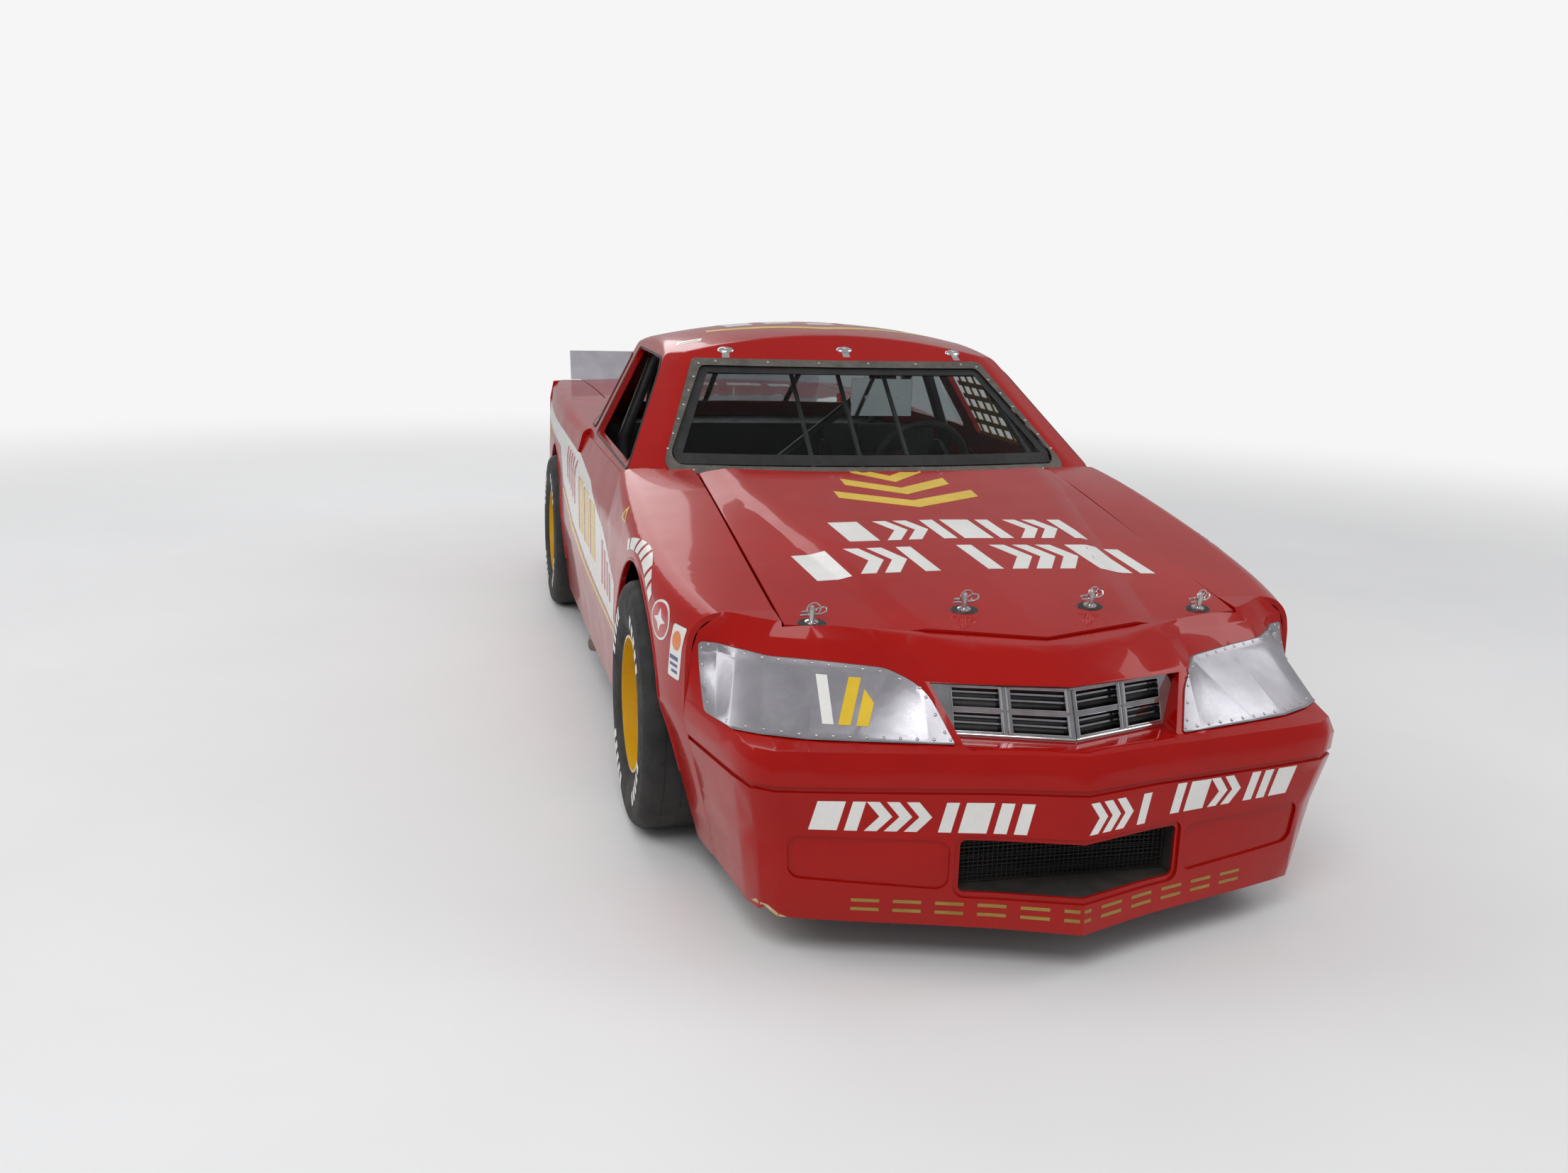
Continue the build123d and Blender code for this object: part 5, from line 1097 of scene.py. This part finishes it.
# Pad and bolts on the steering wheel, screws of the mirror
wheelHub = {"place": spot(370, 2300, 850), "tilt": radians(12), "boltCircle": 0.030, "bolts": 6,
            "firstTurn": 0.5}
shaft = Vector((0, cos(wheelHub["tilt"]), sin(wheelHub["tilt"])))
padMesh, boltMesh, screwMesh = bmesh.new(), bmesh.new(), bmesh.new()
addLathe(padMesh, ((0.0, 0.030), (0.024, 0.029), (0.036, 0.024), (0.040, 0.016), (0.040, 0.0045),
                   (0.0, 0.0045)),
         wheelHub["place"], shaft, 28)
turnedPiece(padMesh, "steering_pad", "blackRubber", "steering_wheel_body", smoothAngle=50)
for k in range(wheelHub["bolts"]):
    turn = k * 2 * pi / wheelHub["bolts"] + wheelHub["firstTurn"]
    way = acrossAxis * cos(turn) + shaft.cross(acrossAxis) * sin(turn)
    bolt = wheelHub["place"] + way * wheelHub["boltCircle"]
    addRod(boltMesh, bolt + shaft * 0.02, bolt + shaft * 0.031, 0.0035, 6)
finishPiece(boltMesh, "steering_bolts", "steelBright", "steering_wheel_body")
for x in (125, 245):
    addRod(screwMesh, spot(x, 2235, 1120), spot(x, 2256, 1120), 0.006)
finishPiece(screwMesh, "mirror_screws", "steelBright")
print("cabin built")

# Engine dressing under the hood
ports = {"first": 1100, "gap": 122, "collector": 1330}
covers, metal, pipes, trim, band, hoses = (bmesh.new() for k in range(6))
for sign in (-1, 1):
    low, high = sorted((sign * 128, sign * 236))
    addBox(covers, spot(low, 1050, 706), spot(high, 1500, 770), 0.014)
    for k in range(5):
        addBox(covers, spot(low + 22 + 15 * k, 1075, 768), spot(low + 27 + 15 * k, 1475, 775), 0.001)
    for k in range(4):
        port = ports["first"] + ports["gap"] * k
        back = ports["collector"] - port
        line = ((248, port, 610), (290, port, 606), (322, port + back * 0.2, 560),
                (330, port + back * 0.55, 480), (306, ports["collector"] - back * 0.16, 400),
                (288, ports["collector"] + 2 - back * 0.06, 345))
        addTube(pipes, [spot(sign * x, station, z) for x, station, z in line], 0.019, 10)
        near, far = sorted((sign * 249, sign * 256))
        addBox(trim, spot(near, port - 32, 584), spot(far, port + 32, 636))
    addRod(pipes, spot(sign * 288, 1330, 400), spot(sign * 288, 1332, 330), 0.042, 16)
addBox(metal, spot(-108, 1085, 708), spot(108, 1465, 750), 0.012)
addBox(metal, spot(-70, 1195, 748), spot(70, 1365, 766), 0.008)
addBox(metal, spot(-56, 1212, 764), spot(56, 1348, 800), 0.006)
for mesh, place, axis, count, profile in (
        (metal, (0, 990, 600), -alongAxis, 32,
         ((0.0, -0.02), (0.075, -0.02), (0.075, -0.008), (0.066, -0.004),
          (0.075, 0.0), (0.075, 0.008), (0.0, 0.008))),
        (metal, (0, 990, 340), -alongAxis, 32,
         ((0.0, -0.02), (0.090, -0.02), (0.090, -0.006), (0.080, -0.002),
          (0.090, 0.002), (0.090, 0.012), (0.0, 0.012))),
        (metal, (-190, 990, 620), -alongAxis, 28,
         ((0.0, -0.10), (0.058, -0.10), (0.062, -0.02), (0.030, -0.015),
          (0.030, 0.002), (0.044, 0.006), (0.0, 0.006))),
        (metal, (0, 1505, 708), upAxis, 24,
         ((0.0, 0.0), (0.030, 0.0), (0.030, 0.050), (0.052, 0.052), (0.052, 0.086),
          (0.044, 0.100), (0.0, 0.102))),
        (trim, (0, 1280, 800), upAxis, 48,
         ((0.0, 0.0), (0.184, 0.0), (0.186, 0.006), (0.178, 0.009), (0.0, 0.009))),
        (trim, (0, 1280, 800), upAxis, 48, ((0.0, 0.062), (0.04, 0.061), (0.150, 0.056), (0.180, 0.050),
                                            (0.186, 0.045), (0.180, 0.042), (0.0, 0.044)))):
    addLathe(mesh, profile, spot(*place), axis, count)
addRod(trim, spot(0, 1280, 860), spot(0, 1280, 873), 0.010)
addLathe(band, ((0.150, 0.008), (0.172, 0.008), (0.172, 0.044), (0.150, 0.044)), spot(0, 1280, 800), upAxis,
         72, closed=True)
addTube(hoses, spots((70, 1100, 752), (70, 1040, 770), (90, 940, 766), (150, 760, 720), (210, 640, 660),
                     (214, 560, 628), (214, 535, 620)), 0.020, 12)
addTube(hoses, spots((-80, 1010, 420), (-90, 900, 415), (-150, 700, 400), (-220, 560, 395), (-222, 535, 394)),
        0.020, 12)
turnedPiece(covers, "valve_covers", "steelBright", slotName="cast_metal")
turnedPiece(metal, "intake_and_pulleys", "castMetal", "chassis", "cast_metal")
turnedPiece(pipes, "exhaust_headers", "exhaustMetal", "chassis", "exhaust_metal", 50)
turnedPiece(trim, "air_cleaner_lids", "chrome", "chassis", "chrome")
turnedPiece(band, "air_filter_band", "whiteVinyl")
turnedPiece(hoses, "coolant_pipes", "blackRubber", smoothAngle=50)
print("engine dressed")

# Tail: lamp bead, border and bars, plain white lenses, blank plate, fuel filler. Nose: the chipped corner
line = between(roundedOutline(((-731, 687), (731, 687), (719, 865), (-719, 865)), 15), 45)
tubePiece("lamp_bead", panelPoints(line, "rear", tailPanel), 0.004, "chrome", "chrome")
layVinyl("lamp_border", [slantBar(-750, 750, 666, 684), slantBar(-740, 740, 868, 886),
                         slantBar(-750, -735, 684, 868), slantBar(735, 750, 684, 868)], "rear", tailPanel,
         "blackRubber", cell=30)
layVinyl("lamp_whites", [slantBar(x - 52, x + 52, 716, 836) for x in (-396, 396)], "rear", lampsOnly,
         "whiteVinyl", cell=26)
lampBars = (-640, -560, -480, -312, -228, -144, -60, 60, 144, 228, 312, 480, 560, 640)
layVinyl("lamp_bars", [slantBar(x - 4, x + 4, 700, 852) for x in lampBars], "rear", lampsOnly, "blackRubber",
         cell=26, lift=0.0012)
layVinyl("tail_plate", [cardOutline(200, 500, 520, 610, 10)], "rear", tailPanel, "whiteVinyl", cell=30)
hit, normal = meet(("quarter_left",), spot(2200, 4560, 850), -acrossAxis)
ring, filler = bmesh.new(), bmesh.new()
addLathe(ring, ((0.0, -0.004), (0.066, -0.004), (0.066, 0.002), (0.060, 0.005), (0.050, 0.005), (0.0, 0.005)),
         hit, normal, 32)
addLathe(filler, ((0.0, 0.004), (0.046, 0.004), (0.046, 0.012), (0.040, 0.015), (0.018, 0.015),
                  (0.014, 0.009), (0.0, 0.009)), hit, normal, 32)
turnedPiece(ring, "filler_ring", "polishedSheet", "chassis", "polished_aluminium")
turnedPiece(filler, "filler_cap", "redVinyl")
chip = [(-701, 116), (-697, 128), (-676, 127), (-655, 113), (-636, 106), (-640, 100), (-652, 103),
        (-668, 112), (-684, 124)]
layVinyl("chip_bare", [chip], "front", nose, "rawFibre", cell=6, lift=0.0004)
print("tail dressed")

# Stiffening ribs under the hood and the decklid
ribs = {"below": 690, "drop": 0.0085, "radius": 0.012, "steps": 12,
        "hood": ("hood_lid", (-545, -300, 300, 545), (640, 1540)),
        "decklid": ("deck_lid", (-540, -180, 180, 540), (4010, 4860))}
for node in ("hood", "decklid"):
    body, columns, (near, far) = ribs[node]
    lines = [((x, near), (x, far)) for x in columns]
    lines += [((columns[0], station), (columns[-1], station)) for station in (near, far)]
    bm = bmesh.new()
    for (startX, startStation), (endX, endStation) in lines:
        rib = []
        for k in range(ribs["steps"] + 1):
            share = k / ribs["steps"]
            place = spot(startX + (endX - startX) * share, startStation + (endStation - startStation) * share,
                         ribs["below"])
            rib.append(meet((node,), place, upAxis)[0] - upAxis * ribs["drop"])
        addTube(bm, rib, ribs["radius"], 4)
    turnedPiece(bm, node + "_ribs", "redPaint", body, "red_paint")
print("ribs built")

# Floor, light and background
stageMesh = bmesh.new()
bmesh.ops.create_grid(stageMesh, x_segments=2, y_segments=2, size=30)
floorMesh = bpy.data.meshes.new("stage_floor")
stageMesh.to_mesh(floorMesh)
stageMesh.free()
floor = bpy.data.objects.new("stage_floor", floorMesh)
scene.collection.objects.link(floor)


def sightRays(tree):
    # 1 for rays from the camera and through glass, and for rays from gloss
    path = addNode(tree, "LightPath")
    direct = addNode(tree, "Math", {0: path["Is Camera Ray"], 1: path["Is Transmission Ray"]},
                     operation="ADD", use_clamp=True)
    return direct[0], path["Is Glossy Ray"]


backdrop = {"pale": (0.92, 0.92, 0.92, 1), "inGloss": (0.42, 0.42, 0.43, 1), "soft": (0.84, 0.85, 0.87, 1),
            "softStrength": 0.62, "fadeStart": 3.0, "fadeEnd": 11.0}
floorPaint, tree, shader, place = startMaterial("stageFloor", {"Roughness": 0.6, "Specular IOR Level": 0.2})
tone = effect(tree, "mottle", place,
              {"Scale": 0.6, "Tone A": (0.80, 0.80, 0.80, 1), "Tone B": (0.84, 0.84, 0.84, 1)})
tree.links.new(tone["Color"], shader.inputs["Base Color"])
far = addNode(tree, "VectorMath", {0: place}, operation="LENGTH")
fade = addNode(tree, "MapRange", {"From Min": backdrop["fadeStart"], "From Max": backdrop["fadeEnd"],
                                  "Value": far["Value"]}, interpolation_type="SMOOTHSTEP")
direct, inGloss = sightRays(tree)
bright = addNode(tree, "Mix", {6: backdrop["pale"], 7: backdrop["inGloss"], 0: inGloss}, data_type="RGBA")
pale = addNode(tree, "Emission", {"Strength": 1.0, "Color": bright[2]})
sight = addNode(tree, "Math", {0: direct, 1: inGloss}, operation="ADD", use_clamp=True)
seen = addNode(tree, "Math", {0: sight[0], 1: fade["Result"]}, operation="MULTIPLY")
mixed = addNode(tree, "MixShader", {0: seen[0], 1: shader.outputs["BSDF"], 2: pale["Emission"]})
tree.links.new(mixed["Shader"], tree.nodes["Material Output"].inputs["Surface"])
floorMesh.materials.append(floorPaint)
lamps = {"key": ((-2.2, -6.0, 5.6), 150, 3.0), "side": ((5.0, -2.5, 4.6), 80, 3.0),
         "back": ((-1.5, 5.5, 4.8), 100, 4.0), "right": ((-6.0, 0.0, 4.4), 80, 3.0)}
lampTarget = Vector((0, 0, 0.5))
for name, (place, power, size) in lamps.items():
    lamp = bpy.data.lights.new(name, "AREA")
    lamp.energy = power
    lamp.size = size
    holder = bpy.data.objects.new(name, lamp)
    holder.location = place
    holder.rotation_euler = (lampTarget - Vector(place)).to_track_quat("-Z", "Y").to_euler()
    scene.collection.objects.link(holder)
world = scene.world or bpy.data.worlds.new("studio")
scene.world = world
world.use_nodes = True
tree = world.node_tree
tree.nodes.clear()
direct, inGloss = sightRays(tree)
soft = addNode(tree, "Background", {"Color": backdrop["soft"], "Strength": backdrop["softStrength"]})
dim = addNode(tree, "Background", {"Color": backdrop["inGloss"], "Strength": 1.0})
white = addNode(tree, "Background", {"Color": backdrop["pale"], "Strength": 1.0})
beneath = addNode(tree, "MixShader", {0: inGloss, 1: soft[0], 2: dim[0]})
mixed = addNode(tree, "MixShader", {0: direct, 1: beneath[0], 2: white[0]})
addNode(tree, "OutputWorld", {"Surface": mixed[0]})
scene.view_settings.view_transform = "Standard"
print("stage lit")
